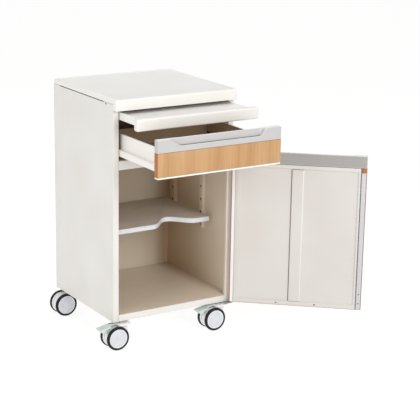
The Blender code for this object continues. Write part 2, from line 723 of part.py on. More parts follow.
def make_stem(name, x, y):
    """Threaded stem, fixed in the base, with the collar that seats under it."""
    stem = place(f"{name}_stem", cylinder_shape((x, y, 0), STEM_RADIUS,
                                                HOOD_TOP - STEM_IN_HOUSING,
                                                BODY_BOTTOM + STEM_IN_BODY), STEEL)
    join(stem, cylinder_shape((x, y, 0), COLLAR_RADIUS, HOOD_TOP + COLLAR_GAP,
                              BODY_BOTTOM - FIT), "collar")


def make_housing(name, x, y, carrier):
    """Swivel housing: a hood over the wheels and a web between them."""
    axle_x = x - CASTER_TRAIL
    web = HOUSING_WIDTH / 2
    hood = box(f"{name}_housing", (x - HOOD_LENGTH / 2, y - HOOD_WIDTH / 2, HOOD_BOTTOM),
               (x + HOOD_LENGTH / 2, y + HOOD_WIDTH / 2, HOOD_TOP), ABS, carrier)
    round_edges(hood, HOOD_ROUND, 2)
    join(hood, cylinder_shape((axle_x, 0, WHEEL_RADIUS), HOUSING_RADIUS, y - web, y + web, "Y"),
         "web")
    join(hood, box_shape((x - NECK_HALF_LENGTH, y - web, WHEEL_RADIUS),
                         (x + NECK_HALF_LENGTH, y + web, HOOD_BOTTOM + HOOD_THICK / 2)), "neck")
    cut(hood, cylinder_shape((x, y, 0), STEM_RADIUS + STEM_CLEARANCE,
                             HOOD_TOP - STEM_IN_HOUSING - COLLAR_GAP, HOOD_TOP + HOOD_THICK),
        "stem_bore")
    cut(hood, cylinder_shape((axle_x, 0, WHEEL_RADIUS), AXLE_RADIUS + FIT,
                             y - 2 * web, y + 2 * web, "Y"), "axle_bore")
    reach = WHEEL_INNER + WHEEL_BORE_DEPTH - AXLE_END_GAP
    place(f"{name}_axle", cylinder_shape((axle_x, 0, WHEEL_RADIUS), AXLE_RADIUS,
                                         y - reach, y + reach, "Y"), STEEL, carrier)


def make_wheel(name, side, swivel):
    """Hub with its tyre moulded on, turning on the axle. side is -1 for the wheel on -Y."""
    inner = side * WHEEL_INNER
    spin = carrier_at(f"{name}_spin", (-CASTER_TRAIL, inner, WHEEL_RADIUS), swivel)
    spin.rotation_euler.x = -side * math.pi / 2
    radius, width = WHEEL_RADIUS, WHEEL_WIDTH
    bore = AXLE_RADIUS + AXLE_CLEARANCE
    profile = [(0, width - WHEEL_DISH), (radius - TYRE_BAND, width - WHEEL_DISH),
               (radius - TYRE_SHOULDER, width), (radius - TYRE_CROWN, width - TYRE_ROUND),
               (radius, width / 2), (radius - TYRE_CROWN, TYRE_ROUND),
               (radius - TYRE_SHOULDER, 0), (bore, 0), (bore, WHEEL_BORE_DEPTH),
               (0, WHEEL_BORE_DEPTH)]
    turned(name, profile, TYRE, spin)


def make_pedal(name, swivel):
    """Brake pedal behind the hood, turning on its own crosswise axis."""
    height = HOOD_TOP - PEDAL_THICK / 2
    carrier = carrier_at(f"{name}_pivot", (-PEDAL_PIVOT_BACK, 0, height), swivel)
    carrier.rotation_euler.y = -PEDAL_DROOP
    arm = PEDAL_ARM_WIDTH / 2
    pad = PEDAL_PAD_WIDTH / 2
    start = PEDAL_PAD_START - PEDAL_PIVOT_BACK
    end = PEDAL_REACH - PEDAL_PIVOT_BACK
    plan = [(PEDAL_HEEL, -arm), (PEDAL_HEEL, arm), (-start, arm), (-start - arm, pad),
            (-end + arm, pad), (-end, pad - arm), (-end, arm - pad), (-end + arm, -pad),
            (-start - arm, -pad), (-start, -arm)]
    pedal = place(name, outline_shape(plan, -PEDAL_THICK / 2, PEDAL_THICK / 2), PEDAL)
    pedal.parent = carrier
    round_edges(pedal, PEDAL_ROUND, 2)


def make_casters():
    for name, (x, y) in caster_places().items():
        make_stem(name, x, y)
        swivel = carrier_at(f"{name}_swivel", (x, y, 0.0))
        make_housing(name, x, y, swivel)
        make_wheel(f"{name}_wheel_a", -1, swivel)
        make_wheel(f"{name}_wheel_b", 1, swivel)
        if name.startswith("front"):
            make_pedal(f"{name}_pedal", swivel)


# ---------- assembly, in the pose that the record calls rest ----------

make_side_panels()
make_back_panel()
make_base()
make_divider()
make_top_frame()
make_top()
make_tray_runners()
make_drawer_slides()
make_shelf()
make_uprights()
make_hinge_brackets()
make_casters()

tray_slide = carrier_at("tray_slide", (0.0, FRONT_Y, TRAY_LIP_TOP))
make_tray(tray_slide)
tray_slide.location.y -= TRAY_OUT

drawer_slide = carrier_at("drawer_slide", (0.0, FRONT_Y, DRAWER_FRONT_TOP))
make_drawer(drawer_slide)
drawer_slide.location.y -= DRAWER_OUT

door_hinge = carrier_at("door_hinge", (HINGE_X, HINGE_Y, 0.0))
make_door(door_hinge)
door_hinge.rotation_euler.z = DOOR_OPEN
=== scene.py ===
# Ward bedside cabinet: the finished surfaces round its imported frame. Metres, front towards -Y.
import json
import math

import bmesh
import bpy
from mathutils import Matrix, Vector


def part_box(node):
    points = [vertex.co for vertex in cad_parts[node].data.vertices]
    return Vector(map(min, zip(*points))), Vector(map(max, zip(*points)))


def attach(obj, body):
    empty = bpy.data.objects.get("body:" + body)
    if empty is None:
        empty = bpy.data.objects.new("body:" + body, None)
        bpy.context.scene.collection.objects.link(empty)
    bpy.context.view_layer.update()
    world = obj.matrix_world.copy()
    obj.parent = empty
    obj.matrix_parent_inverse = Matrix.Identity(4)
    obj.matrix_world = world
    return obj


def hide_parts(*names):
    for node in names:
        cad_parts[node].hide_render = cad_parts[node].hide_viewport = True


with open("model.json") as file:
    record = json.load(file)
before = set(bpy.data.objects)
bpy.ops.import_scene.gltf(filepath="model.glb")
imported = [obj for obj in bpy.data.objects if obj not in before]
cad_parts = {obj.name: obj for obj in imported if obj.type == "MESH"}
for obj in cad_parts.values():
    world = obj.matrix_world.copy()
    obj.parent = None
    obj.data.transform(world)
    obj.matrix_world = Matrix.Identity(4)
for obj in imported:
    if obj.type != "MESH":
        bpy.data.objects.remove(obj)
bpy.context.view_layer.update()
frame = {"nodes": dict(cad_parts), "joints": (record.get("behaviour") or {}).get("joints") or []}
nodes = frame["nodes"]
joints = {joint["name"]: joint for joint in frame["joints"]}
corners = ("front_left", "front_right", "rear_left", "rear_right")
print("frame loaded:", len(nodes), "nodes")


# places read from the frame
panelLow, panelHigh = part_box("side_panel_left")
topLow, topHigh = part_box("top_cover")
baseLow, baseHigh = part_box("base_panel")
dividerLow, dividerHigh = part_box("divider_panel")
half = -panelLow.x          # the body's half width
opening = -panelHigh.x      # the opening's half width
bodyFront = panelLow.y
panelRear = panelHigh.y


viewPoint = {"turn": -32.48, "lift": 15.547, "roll": 1.051,
             "place": (-2.1945, -3.8654, 1.634), "lens": 116.2, "sensor": 36}


def addCamera():
    turn, lift, roll = (math.radians(viewPoint[word]) for word in ("turn", "lift", "roll"))
    back = Vector((math.sin(turn) * math.cos(lift), -math.cos(turn) * math.cos(lift),
                   math.sin(lift)))
    right = (-back).cross(Vector((0, 0, 1))).normalized()
    up = right.cross(-back)
    level = math.cos(roll) * right + math.sin(roll) * up
    tall = -math.sin(roll) * right + math.cos(roll) * up
    data = bpy.data.cameras.new("viewCamera")
    data.lens = viewPoint["lens"]
    data.sensor_width = viewPoint["sensor"]
    camera = bpy.data.objects.new("viewCamera", data)
    bpy.context.scene.collection.objects.link(camera)
    facing = Matrix((level, tall, back)).transposed().to_4x4()
    camera.matrix_world = Matrix.Translation(viewPoint["place"]) @ facing
    bpy.context.scene.camera = camera


studio = {"sky": 0.66, "skyColour": (1.0, 0.99, 0.98),
          "key": (-3.2, -1.2, 1.5), "keySize": 1.6, "keyPower": 21,
          "front": (0.2, -3.3, 1.9), "frontSize": 1.5, "frontPower": 46,
          "overhead": (0.0, 0.1, 3.2), "overheadSize": 1.8, "overheadPower": 19,
          "aim": (0.1, -0.1, 0.4),
          "floorHalf": 30.0, "floorGlow": 0.80, "floorTone": 0.28, "floorRough": 0.9}


def softLight(name, place, size, power):
    data = bpy.data.lights.new(name, "AREA")
    data.energy = power
    data.size = size
    light = bpy.data.objects.new(name, data)
    facing = (Vector(studio["aim"]) - Vector(place)).to_track_quat("-Z", "Y")
    light.matrix_world = Matrix.Translation(place) @ facing.to_matrix().to_4x4()
    bpy.context.scene.collection.objects.link(light)


def addStudio():
    world = bpy.data.worlds.new("softSky")
    world.use_nodes = True
    sky = world.node_tree.nodes["Background"]
    sky.inputs["Color"].default_value = (*studio["skyColour"], 1)
    sky.inputs["Strength"].default_value = studio["sky"]
    bpy.context.scene.world = world
    bpy.context.scene.view_settings.view_transform = "Standard"
    for name in ("key", "front", "overhead"):
        softLight(f"{name}Light", studio[name], studio[f"{name}Size"], studio[f"{name}Power"])

    bm = bmesh.new()
    bmesh.ops.create_grid(bm, x_segments=2, y_segments=2, size=studio["floorHalf"])
    mesh = bpy.data.meshes.new("studio_floor")
    bm.to_mesh(mesh)
    bm.free()
    floor = bpy.data.objects.new("studio_floor", mesh)
    look = bpy.data.materials.new("paleFloor")
    look.use_nodes = True
    shader = look.node_tree.nodes["Principled BSDF"]
    pale = studio["floorTone"]
    shader.inputs["Base Color"].default_value = (pale, pale, pale, 1)
    shader.inputs["Roughness"].default_value = studio["floorRough"]
    shader.inputs["Specular IOR Level"].default_value = 0.0
    shader.inputs["Emission Color"].default_value = (1, 1, 1, 1)
    shader.inputs["Emission Strength"].default_value = studio["floorGlow"]
    mesh.materials.append(look)
    bpy.context.scene.collection.objects.link(floor)


addCamera()
addStudio()
print("camera and studio placed")


def tone(red, green, blue):
    # screen values from 0 to 255 as a linear colour
    def straight(value):
        value /= 255
        return value / 12.92 if value <= 0.04045 else ((value + 0.055) / 1.055) ** 2.4
    return (straight(red), straight(green), straight(blue), 1.0)


coatRough = 0.15


def newLook(name, colour, roughness, metallic=0.0, specular=0.5, coat=0.0):
    look = bpy.data.materials.new(name)
    look.use_nodes = True
    shader = look.node_tree.nodes["Principled BSDF"]
    shader.inputs["Base Color"].default_value = colour
    shader.inputs["Roughness"].default_value = roughness
    shader.inputs["Metallic"].default_value = metallic
    shader.inputs["Specular IOR Level"].default_value = specular
    shader.inputs["Coat Weight"].default_value = coat
    shader.inputs["Coat Roughness"].default_value = coatRough
    look.diffuse_color = colour
    return look


def shaderOf(look):
    return look.node_tree.nodes["Principled BSDF"]


def addNode(look, kind, **settings):
    made = look.node_tree.nodes.new(kind)
    for word, value in settings.items():
        setattr(made, word, value)
    return made


def link(look, output, socket):
    look.node_tree.links.new(output, socket)


def placesOf(look, stretch=(1, 1, 1)):
    coords = addNode(look, "ShaderNodeTexCoord")
    mapping = addNode(look, "ShaderNodeMapping")
    mapping.inputs["Scale"].default_value = stretch
    link(look, coords.outputs["Object"], mapping.inputs["Vector"])
    return mapping.outputs["Vector"]


def noiseOf(look, scale, stretch=(1, 1, 1), detail=2.0, roughness=0.5):
    made = addNode(look, "ShaderNodeTexNoise")
    made.inputs["Scale"].default_value = scale
    made.inputs["Detail"].default_value = detail
    made.inputs["Roughness"].default_value = roughness
    link(look, placesOf(look, stretch), made.inputs["Vector"])
    return made.outputs["Fac"]


def rampOf(look, factor, stops):
    # stops are (place, colour) from low to high
    ramp = addNode(look, "ShaderNodeValToRGB")
    points = ramp.color_ramp.elements
    points[0].position, points[0].color = stops[0]
    points[1].position, points[1].color = stops[-1]
    for place, colour in stops[1:-1]:
        points.new(place).color = colour
    link(look, factor, ramp.inputs["Fac"])
    return ramp.outputs["Color"]


def twoTone(look, factor, dark, pale, low=0.35, high=0.65):
    return rampOf(look, factor, [(low, dark), (high, pale)])


def rangeOf(look, factor, low, high, start=0.3, stop=0.7):
    made = addNode(look, "ShaderNodeMapRange")
    made.inputs["From Min"].default_value = start
    made.inputs["From Max"].default_value = stop
    made.inputs["To Min"].default_value = low
    made.inputs["To Max"].default_value = high
    link(look, factor, made.inputs["Value"])
    return made.outputs["Result"]


def mixOf(look, factor, first, second):
    made = addNode(look, "ShaderNodeMix", data_type="RGBA")
    for word, value in (("Factor", factor), ("A", first), ("B", second)):
        kind = "VALUE" if word == "Factor" else "RGBA"
        socket = next(one for one in made.inputs if one.name == word and one.type == kind)
        if isinstance(value, bpy.types.NodeSocket):
            link(look, value, socket)
        else:
            socket.default_value = value
    return next(one for one in made.outputs if one.type == "RGBA")


def mathOf(look, operation, first, second):
    made = addNode(look, "ShaderNodeMath", operation=operation)
    for socket, value in zip(made.inputs, (first, second)):
        if isinstance(value, bpy.types.NodeSocket):
            link(look, value, socket)
        elif value is not None:
            socket.default_value = value
    return made.outputs["Value"]


def bump(look, layers):
    # layers are (height, distance), laid one on another
    normal = None
    for height, distance in layers:
        made = addNode(look, "ShaderNodeBump")
        made.inputs["Distance"].default_value = distance
        link(look, height, made.inputs["Height"])
        if normal:
            link(look, normal, made.inputs["Normal"])
        normal = made.outputs["Normal"]
    link(look, normal, shaderOf(look).inputs["Normal"])


def colourBy(look, colour):
    link(look, colour, shaderOf(look).inputs["Base Color"])


def roughBy(look, value):
    link(look, value, shaderOf(look).inputs["Roughness"])


paint = {"outside": tone(226, 224, 219), "outsideDark": tone(221, 218, 212),
         # the next two rows are painted shade for the cupboard's interior, not a second paint
         "inside": tone(226, 214, 197), "insideDark": tone(221, 208, 189),
         "rear": tone(196, 172, 143), "rearDark": tone(188, 163, 133),
         "door": tone(208, 204, 199), "doorDark": tone(204, 199, 193),
         "drawer": tone(240, 237, 232), "drawerDark": tone(237, 233, 227),
         # the next row is painted shade for the drawer's interior faces, the same white paint in
         # shadow
         "bowl": tone(196, 174, 146), "bowlDark": tone(188, 165, 136),
         # the next row is painted shade for the door's dark gap lines
         "seamShade": tone(126, 114, 101), "seamShadeDark": tone(116, 104, 91),
         "peel": 620, "peelDeep": 0.00003, "cloud": 5.0, "roughness": 0.36, "smear": 40,
         "roughLow": 0.32, "roughHigh": 0.42, "skin": 0.0006, "shadeFrom": 0.06, "shadeBand": 0.04}


def axesOf(look):
    split = addNode(look, "ShaderNodeSeparateXYZ")
    link(look, placesOf(look), split.inputs["Vector"])
    return split.outputs


def insideMask(look):
    # 1 within the body's steel skin, 0 outside: where the painted interior shade goes
    axes = axesOf(look)
    skin = paint["skin"]
    away = mathOf(look, "ABSOLUTE", axes["X"], None)
    mask = mathOf(look, "LESS_THAN", away, half - skin)
    limits = (("Y", "GREATER_THAN", bodyFront + skin), ("Y", "LESS_THAN", panelRear + 2 * skin),
              ("Z", "GREATER_THAN", baseHigh.z - skin))
    for axis, operation, limit in limits:
        mask = mathOf(look, "MULTIPLY", mask, mathOf(look, operation, axes[axis], limit))
    return mask


def paintLook(name, masked=True, outside=("outside", "outsideDark")):
    look = newLook(name, paint[outside[0]], paint["roughness"])
    cloud = noiseOf(look, paint["cloud"], detail=3)
    out = twoTone(look, cloud, paint[outside[1]], paint[outside[0]])
    if masked:
        # painted shade: the interior tone is browner than the outer paint, darker and browner still
        # towards the back of the right wall
        shadedInside = twoTone(look, cloud, paint["insideDark"], paint["inside"])
        deep = twoTone(look, cloud, paint["rearDark"], paint["rear"])
        axes = axesOf(look)
        start = bodyFront + paint["shadeFrom"]
        depth = rangeOf(look, axes["Y"], 0.0, 1.0, start, panelRear)
        start = opening - paint["shadeBand"]
        rightWall = rangeOf(look, axes["X"], 0.0, 1.0, start, opening)
        shadedInside = mixOf(look, mathOf(look, "MULTIPLY", depth, rightWall), shadedInside, deep)
        out = mixOf(look, insideMask(look), out, shadedInside)
    colourBy(look, out)
    peel = noiseOf(look, paint["peel"], detail=1)
    smear = noiseOf(look, paint["smear"], detail=3)
    roughBy(look, rangeOf(look, smear, paint["roughLow"], paint["roughHigh"]))
    bump(look, [(peel, paint["peelDeep"])])
    return look


moulding = {"white": tone(234, 232, 228), "whiteDark": tone(230, 228, 223),
            "field": tone(231, 231, 229), "fieldDark": tone(228, 228, 225),
            "grey": tone(190, 188, 187), "greyDark": tone(185, 183, 182),
            # the next row is a painted highlight for the cap's top faces
            "crownHighlight": tone(230, 229, 228), "crownHighlightDark": tone(225, 224, 223),
            # the next row is painted shade for the pull's crease
            "seamShade": tone(140, 138, 136), "seamShadeDark": tone(132, 130, 128),
            # the next row is painted shade: the cap's grey darkened for its back faces
            "back": tone(156, 153, 150), "backDark": tone(155, 152, 149),
            "strip": tone(193, 195, 199), "stripDark": tone(188, 190, 194),
            "band": tone(228, 231, 238), "bandDark": tone(223, 226, 233),
            "grain": 1500, "grainDeep": 0.00002, "cloud": 7, "smear": 55,
            "smoother": 0.04, "rougher": 0.05}


def mouldingLook(name, word, roughness, coat=0.0):
    look = newLook(name, moulding[word], roughness, coat=coat)
    cloud = noiseOf(look, moulding["cloud"], detail=4)
    colourBy(look, twoTone(look, cloud, moulding[word + "Dark"], moulding[word]))
    smear = noiseOf(look, moulding["smear"], detail=3)
    low, high = roughness - moulding["smoother"], roughness + moulding["rougher"]
    roughBy(look, rangeOf(look, smear, low, high))
    bump(look, [(noiseOf(look, moulding["grain"], detail=1), moulding["grainDeep"])])
    return look


wood = {"pale": tone(195, 154, 109), "mid": tone(188, 146, 99), "dark": tone(180, 134, 86),
        "line": tone(168, 118, 70), "edgePale": tone(182, 110, 52), "edgeDark": tone(158, 92, 40),
        "fibre": 230, "fibreLong": 0.02, "fibreDeep": 0.00004, "streak": 26, "streakLong": 0.05,
        "lineShare": 0.62, "lineFrom": 0.50, "lineFull": 0.72, "roughLow": 0.40, "roughHigh": 0.52,
        "edgeFibre": 260, "edgeLong": 0.03, "edgeDeep": 0.00003}


def woodLook():
    look = newLook("woodLaminate", wood["mid"], 0.45)
    along = (1, 1, wood["streakLong"])
    streak = noiseOf(look, wood["streak"], along, detail=3, roughness=0.6)
    ground = rampOf(look, streak, [(0.30, wood["dark"]), (0.48, wood["mid"]),
                                   (0.62, wood["pale"]), (0.78, wood["mid"])])
    fibre = noiseOf(look, wood["fibre"], (1, 1, wood["fibreLong"]), detail=4, roughness=0.7)
    lines = rangeOf(look, fibre, 0.0, wood["lineShare"], wood["lineFrom"], wood["lineFull"])
    colourBy(look, mixOf(look, lines, ground, wood["line"]))
    roughBy(look, rangeOf(look, fibre, wood["roughLow"], wood["roughHigh"]))
    bump(look, [(fibre, wood["fibreDeep"])])
    return look


def woodEdgeLook():
    look = newLook("woodEdge", wood["edgePale"], 0.5)
    fibre = noiseOf(look, wood["edgeFibre"], (1, 1, wood["edgeLong"]), detail=3)
    colourBy(look, twoTone(look, fibre, wood["edgeDark"], wood["edgePale"]))
    bump(look, [(fibre, wood["edgeDeep"])])
    return look


shelfTone = {"pale": tone(206, 197, 188), "dark": tone(194, 184, 174), "speck": 420,
             "speckDeep": 0.00002, "speckShare": 0.25, "cloud": 9, "roughLow": 0.46,
             "roughHigh": 0.56}


def shelfLook():
    look = newLook("shelfLaminate", shelfTone["pale"], 0.5)
    speck = noiseOf(look, shelfTone["speck"], detail=3, roughness=0.7)
    cloud = noiseOf(look, shelfTone["cloud"], detail=3)
    ground = twoTone(look, cloud, shelfTone["dark"], shelfTone["pale"])
    specks = rangeOf(look, speck, 0.0, shelfTone["speckShare"], 0.55, 0.75)
    colourBy(look, mixOf(look, specks, ground, shelfTone["dark"]))
    roughBy(look, rangeOf(look, speck, shelfTone["roughLow"], shelfTone["roughHigh"]))
    bump(look, [(speck, shelfTone["speckDeep"])])
    return look


steel = {"pale": tone(205, 205, 205), "dark": tone(176, 176, 178), "roughness": 0.32,
         "cloud": 90, "brush": 700, "brushLong": 0.1, "roughLow": 0.26, "roughHigh": 0.42}


def steelLook():
    look = newLook("brightSteel", steel["pale"], steel["roughness"], metallic=1.0)
    cloud = noiseOf(look, steel["cloud"], detail=4)
    colourBy(look, twoTone(look, cloud, steel["dark"], steel["pale"]))
    brush = noiseOf(look, steel["brush"], (1, 1, steel["brushLong"]), detail=2)
    roughBy(look, rangeOf(look, brush, steel["roughLow"], steel["roughHigh"]))
    return look


casterTone = {"tyre": tone(14, 15, 28), "tyreWorn": tone(26, 28, 42),
              "shell": tone(238, 238, 236), "shellDark": tone(232, 232, 230),
              "disc": tone(214, 217, 221), "discDark": tone(203, 207, 211),
              "pedal": tone(206, 216, 213), "pedalDark": tone(195, 206, 202),
              # the next row is painted shade for holes and also the screw heads' dark tone
              "dark": tone(52, 46, 42), "scuff": 180, "tyreGrain": 2400, "cloud": 60,
              "grainDeep": 0.00002}


def tyreLook():
    look = newLook("tyreRubber", casterTone["tyre"], 0.42, specular=0.28)
    scuff = noiseOf(look, casterTone["scuff"], detail=4)
    colourBy(look, twoTone(look, scuff, casterTone["tyre"], casterTone["tyreWorn"], 0.45, 0.75))
    roughBy(look, rangeOf(look, scuff, 0.34, 0.55))
    grain = noiseOf(look, casterTone["tyreGrain"], detail=1)
    bump(look, [(grain, casterTone["grainDeep"])])
    return look


def plasticLook(name, pale, dark, roughness, grain=1200):
    look = newLook(name, casterTone[pale], roughness)
    cloud = noiseOf(look, casterTone["cloud"], detail=4)
    colourBy(look, twoTone(look, cloud, casterTone[dark], casterTone[pale]))
    roughBy(look, rangeOf(look, cloud, roughness - 0.05, roughness + 0.06))
    bump(look, [(noiseOf(look, grain, detail=1), casterTone["grainDeep"])])
    return look


# bodyPaint carries painted shade on its interior faces
bodyPaint = paintLook("bodyPaint")
drawerPaint = paintLook("drawerPaint", masked=False, outside=("drawer", "drawerDark"))
# painted shade for the drawer's interior
drawerInsideShade = paintLook("drawerInsideShade", masked=False, outside=("bowl", "bowlDark"))
doorPaint = paintLook("doorPaint", masked=False, outside=("door", "doorDark"))
# painted highlight: the lighter outer paint on the rib's far flank
flankHighlightPaint = paintLook("flankHighlightPaint", masked=False)
# painted shade for the rib's hinge-side flank and for the dark strip beside the closing strip
gapShadePaint = paintLook("gapShadePaint", masked=False, outside=("seamShade", "seamShadeDark"))
whiteMoulding = mouldingLook("whiteMoulding", "white", 0.34)
topField = mouldingLook("topField", "field", 0.36)
greyMoulding = mouldingLook("greyMoulding", "grey", 0.36)
# painted shade on the handle cap's back faces
greyBackShade = mouldingLook("greyBackShade", "back", 0.42)
# painted highlight on the cap's top faces and the lip's top
greyCrownHighlight = mouldingLook("greyCrownHighlight", "crownHighlight", 0.32)
# painted shade in the pull's crease
greyCreaseShade = mouldingLook("greyCreaseShade", "seamShade", 0.45)
stripMoulding = mouldingLook("stripMoulding", "strip", 0.28, coat=0.2)
bandMoulding = mouldingLook("bandMoulding", "band", 0.28, coat=0.2)
woodFace = woodLook()
woodEdge = woodEdgeLook()
shelfFace = shelfLook()
brightSteel = steelLook()
tyreRubber = tyreLook()
casterShell = plasticLook("casterShell", "shell", "shellDark", 0.38)
discShell = plasticLook("discShell", "disc", "discDark", 0.34, grain=500)
pedalShell = plasticLook("pedalShell", "pedal", "pedalDark", 0.45)
# painted shade for the dark of the shelf holes, also the screw heads' tone
darkScrewAndHoleShade = plasticLook("darkScrewAndHoleShade", "dark", "dark", 0.6)
print("finishes made")


def boxMesh(low, high):
    bm = bmesh.new()
    size = Vector(high) - Vector(low)
    bmesh.ops.create_cube(bm, size=1)
    bmesh.ops.scale(bm, vec=size, verts=bm.verts)
    bmesh.ops.translate(bm, vec=Vector(low) + size / 2, verts=bm.verts)
    return bm


def roundOff(bm, edges, width, segments=3):
    bmesh.ops.bevel(bm, geom=edges, offset=width, segments=segments, profile=0.5,
                    affect="EDGES", clamp_overlap=True, material=-1)


def sharpEdges(bm, angle=50):
    limit = math.radians(angle)
    return [e for e in bm.edges if len(e.link_faces) == 2 and e.calc_face_angle(0) > limit]


def edgesAlong(bm, axis, test=None):
    # straight edges along one axis, 0 to 2
    found = []
    for edge in bm.edges:
        run = edge.verts[1].co - edge.verts[0].co
        if abs(run[axis]) > 0.99 * run.length and (test is None or test(edge)):
            found.append(edge)
    return found


def middle(edge):
    return (edge.verts[0].co + edge.verts[1].co) / 2


def faceTowards(bm, direction):
    # the one face that looks furthest along a direction
    aim = Vector(direction)
    return max(bm.faces, key=lambda f: (round(f.normal.dot(aim), 3), f.calc_center_median().dot(aim)))


def addPiece(name, bm, looks, body, stands=(), turn=None, wall=0.0, soften=0.0,
             smooth=35, paintFace=None):
    if turn:
        bmesh.ops.transform(bm, matrix=turn, verts=bm.verts)
    mesh = bpy.data.meshes.new(name)
    bm.to_mesh(mesh)
    bm.free()
    piece = bpy.data.objects.new(name, mesh)
    bpy.context.scene.collection.objects.link(piece)
    if wall:
        shell = piece.modifiers.new("wall", "SOLIDIFY")
        shell.thickness = abs(wall)
        shell.offset = math.copysign(1, wall)
        shell.use_even_offset = True
    if soften:
        edge = piece.modifiers.new("soften", "BEVEL")
        edge.width = soften
        edge.segments = 2
        edge.angle_limit = math.radians(50)
    if wall or soften:
        ready = piece.evaluated_get(bpy.context.evaluated_depsgraph_get())
        applied = bpy.data.meshes.new_from_object(ready)
        piece.modifiers.clear()
        piece.data = applied
        bpy.data.meshes.remove(mesh)
        applied.name = name
        mesh = applied
    mesh.materials.clear()
    for look in looks:
        mesh.materials.append(look)
    if paintFace:
        for face in mesh.polygons:
            face.material_index = paintFace(face)
    mesh.shade_smooth()
    mesh.set_sharp_from_angle(angle=math.radians(smooth))
    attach(piece, body)
    if stands:
        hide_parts(*stands)


def drawOut(bm, face, push):
    # extrude one face and move the new end
    grown = bmesh.ops.extrude_face_region(bm, geom=[face])["geom"]
    moved = [g for g in grown if isinstance(g, bmesh.types.BMVert)]
    bmesh.ops.translate(bm, vec=push, verts=moved)


def loft(sections):
    # a closed skin through matching outlines, with a flat cap on the first and the last
    bm = bmesh.new()
    verts = [bm.verts.new(point) for point in sections[0]]
    cap = bm.faces.new(verts)
    for outline in sections[1:]:
        where = [v.co.copy() for v in verts]
        grown = bmesh.ops.extrude_face_region(bm, geom=[cap])["geom"]
        fresh = [g for g in grown if isinstance(g, bmesh.types.BMVert)]
        verts = [min(fresh, key=lambda v: (v.co - spot).length_squared) for spot in where]
        cap = next(g for g in grown if isinstance(g, bmesh.types.BMFace))
        for vert, point in zip(verts, outline):
            vert.co = point
    bmesh.ops.recalc_face_normals(bm, faces=bm.faces)
    return bm


def turnedMesh(profile, centre, steps, axis="Y", closed=False):
    # (radius, place along the axis) points, spun about that axis through the centre
    along = Vector((0, 0, 0))
    along["XYZ".index(axis)] = 1
    out = Vector((1, 0, 0)) if axis != "X" else Vector((0, 0, 1))
    bm = bmesh.new()
    verts = [bm.verts.new(Vector(centre) + out * r + along * h) for r, h in profile]
    edges = [bm.edges.new(pair) for pair in zip(verts, verts[1:])]
    if closed:
        edges.append(bm.edges.new((verts[-1], verts[0])))
    bmesh.ops.spin(bm, geom=verts + edges, cent=centre, axis=along, angle=math.tau,
                   steps=steps, use_merge=True)
    bmesh.ops.remove_doubles(bm, verts=bm.verts, dist=0.00001)
    bmesh.ops.recalc_face_normals(bm, faces=bm.faces)
    return bm


def scaled(shape, across, along):
    return [(a * across, b * along) for a, b in shape]


def arc(centre, radius, start, stop, count):
    # points on an arc in one plane, angles in degrees
    angles = [math.radians(start + (stop - start) * i / (count - 1)) for i in range(count)]
    return [(centre[0] + radius * math.cos(a), centre[1] + radius * math.sin(a)) for a in angles]


sheet = {"thick": 0.0012, "bend": 0.0018, "edge": 0.0003}


def bentSheet(path, plane, start, end, bend=sheet["bend"]):
    # a strip folded along a path and drawn out along the third axis, facing the path's left
    first, second = ("XYZ".index(letter) for letter in plane)
    third = 3 - first - second
    bm = bmesh.new()
    verts = []
    for point in path:
        where = [0.0, 0.0, 0.0]
        where[first], where[second], where[third] = point[0], point[1], start
        verts.append(bm.verts.new(where))
    edges = [bm.edges.new(pair) for pair in zip(verts, verts[1:])]
    push = [0.0, 0.0, 0.0]
    push[third] = end - start
    run = verts[1].co - verts[0].co
    left = Vector((0.0, 0.0, 0.0))
    left[first], left[second] = -run[second], run[first]
    spot = (verts[0].co + verts[1].co) / 2
    grown = bmesh.ops.extrude_edge_only(bm, edges=edges)["geom"]
    moved = [g for g in grown if isinstance(g, bmesh.types.BMVert)]
    bmesh.ops.translate(bm, vec=push, verts=moved)
    bmesh.ops.recalc_face_normals(bm, faces=bm.faces)
    bm.normal_update()
    nearest = min(bm.faces, key=lambda f: (f.calc_center_median() - spot - Vector(push) / 2).length)
    if nearest.normal.dot(left) < 0:
        bmesh.ops.reverse_faces(bm, faces=bm.faces)
    if bend:
        roundOff(bm, sharpEdges(bm, 20), bend, 4)
    return bm


def mirrored(path):
    return [(-x, other) for x, other in reversed(path)]


def cutAcross(bm, place, normal):
    bmesh.ops.bisect_plane(bm, geom=bm.verts[:] + bm.edges[:] + bm.faces[:], plane_co=place,
                           plane_no=normal, dist=0.000001)


def dropFaces(bm, test):
    gone = [f for f in bm.faces if test(f.calc_center_median())]
    bmesh.ops.delete(bm, geom=gone, context="FACES")


sidePanel = {"rearFlange": 0.015, "turnIn": 0.014, "slotFront": -0.136, "slotBack": 0.176,
             "slotDeep": 0.0019}


def addSidePanels():
    path = [(-half + sidePanel["rearFlange"], panelRear), (-half, panelRear), (-half, bodyFront),
            (-opening, bodyFront), (-opening, bodyFront + sidePanel["turnIn"])]
    ledge = panelHigh.z - sidePanel["slotDeep"]
    front, back = sidePanel["slotFront"], sidePanel["slotBack"]
    for side, run in (("left", path), ("right", mirrored(path))):
        bm = bentSheet(run, "XY", panelLow.z, panelHigh.z)
        cutAcross(bm, (0, front, 0), (0, 1, 0))
        cutAcross(bm, (0, back, 0), (0, 1, 0))
        cutAcross(bm, (0, 0, ledge), (0, 0, 1))
        dropFaces(bm, lambda c: c.z > ledge and front < c.y < back and abs(c.x) > opening)
        addPiece(f"side_skin_{side}", bm, [bodyPaint], "cabinet", [f"side_panel_{side}"],
                 wall=sheet["thick"], soften=sheet["edge"])


backPanel = {"rivet": 0.0032, "rivetProud": 0.0009, "inset": 0.012, "rows": 5,
             "dome": [(0, 1), (0.55, 0.85), (0.9, 0.45), (1, 0), (1, -1), (0, -1)]}


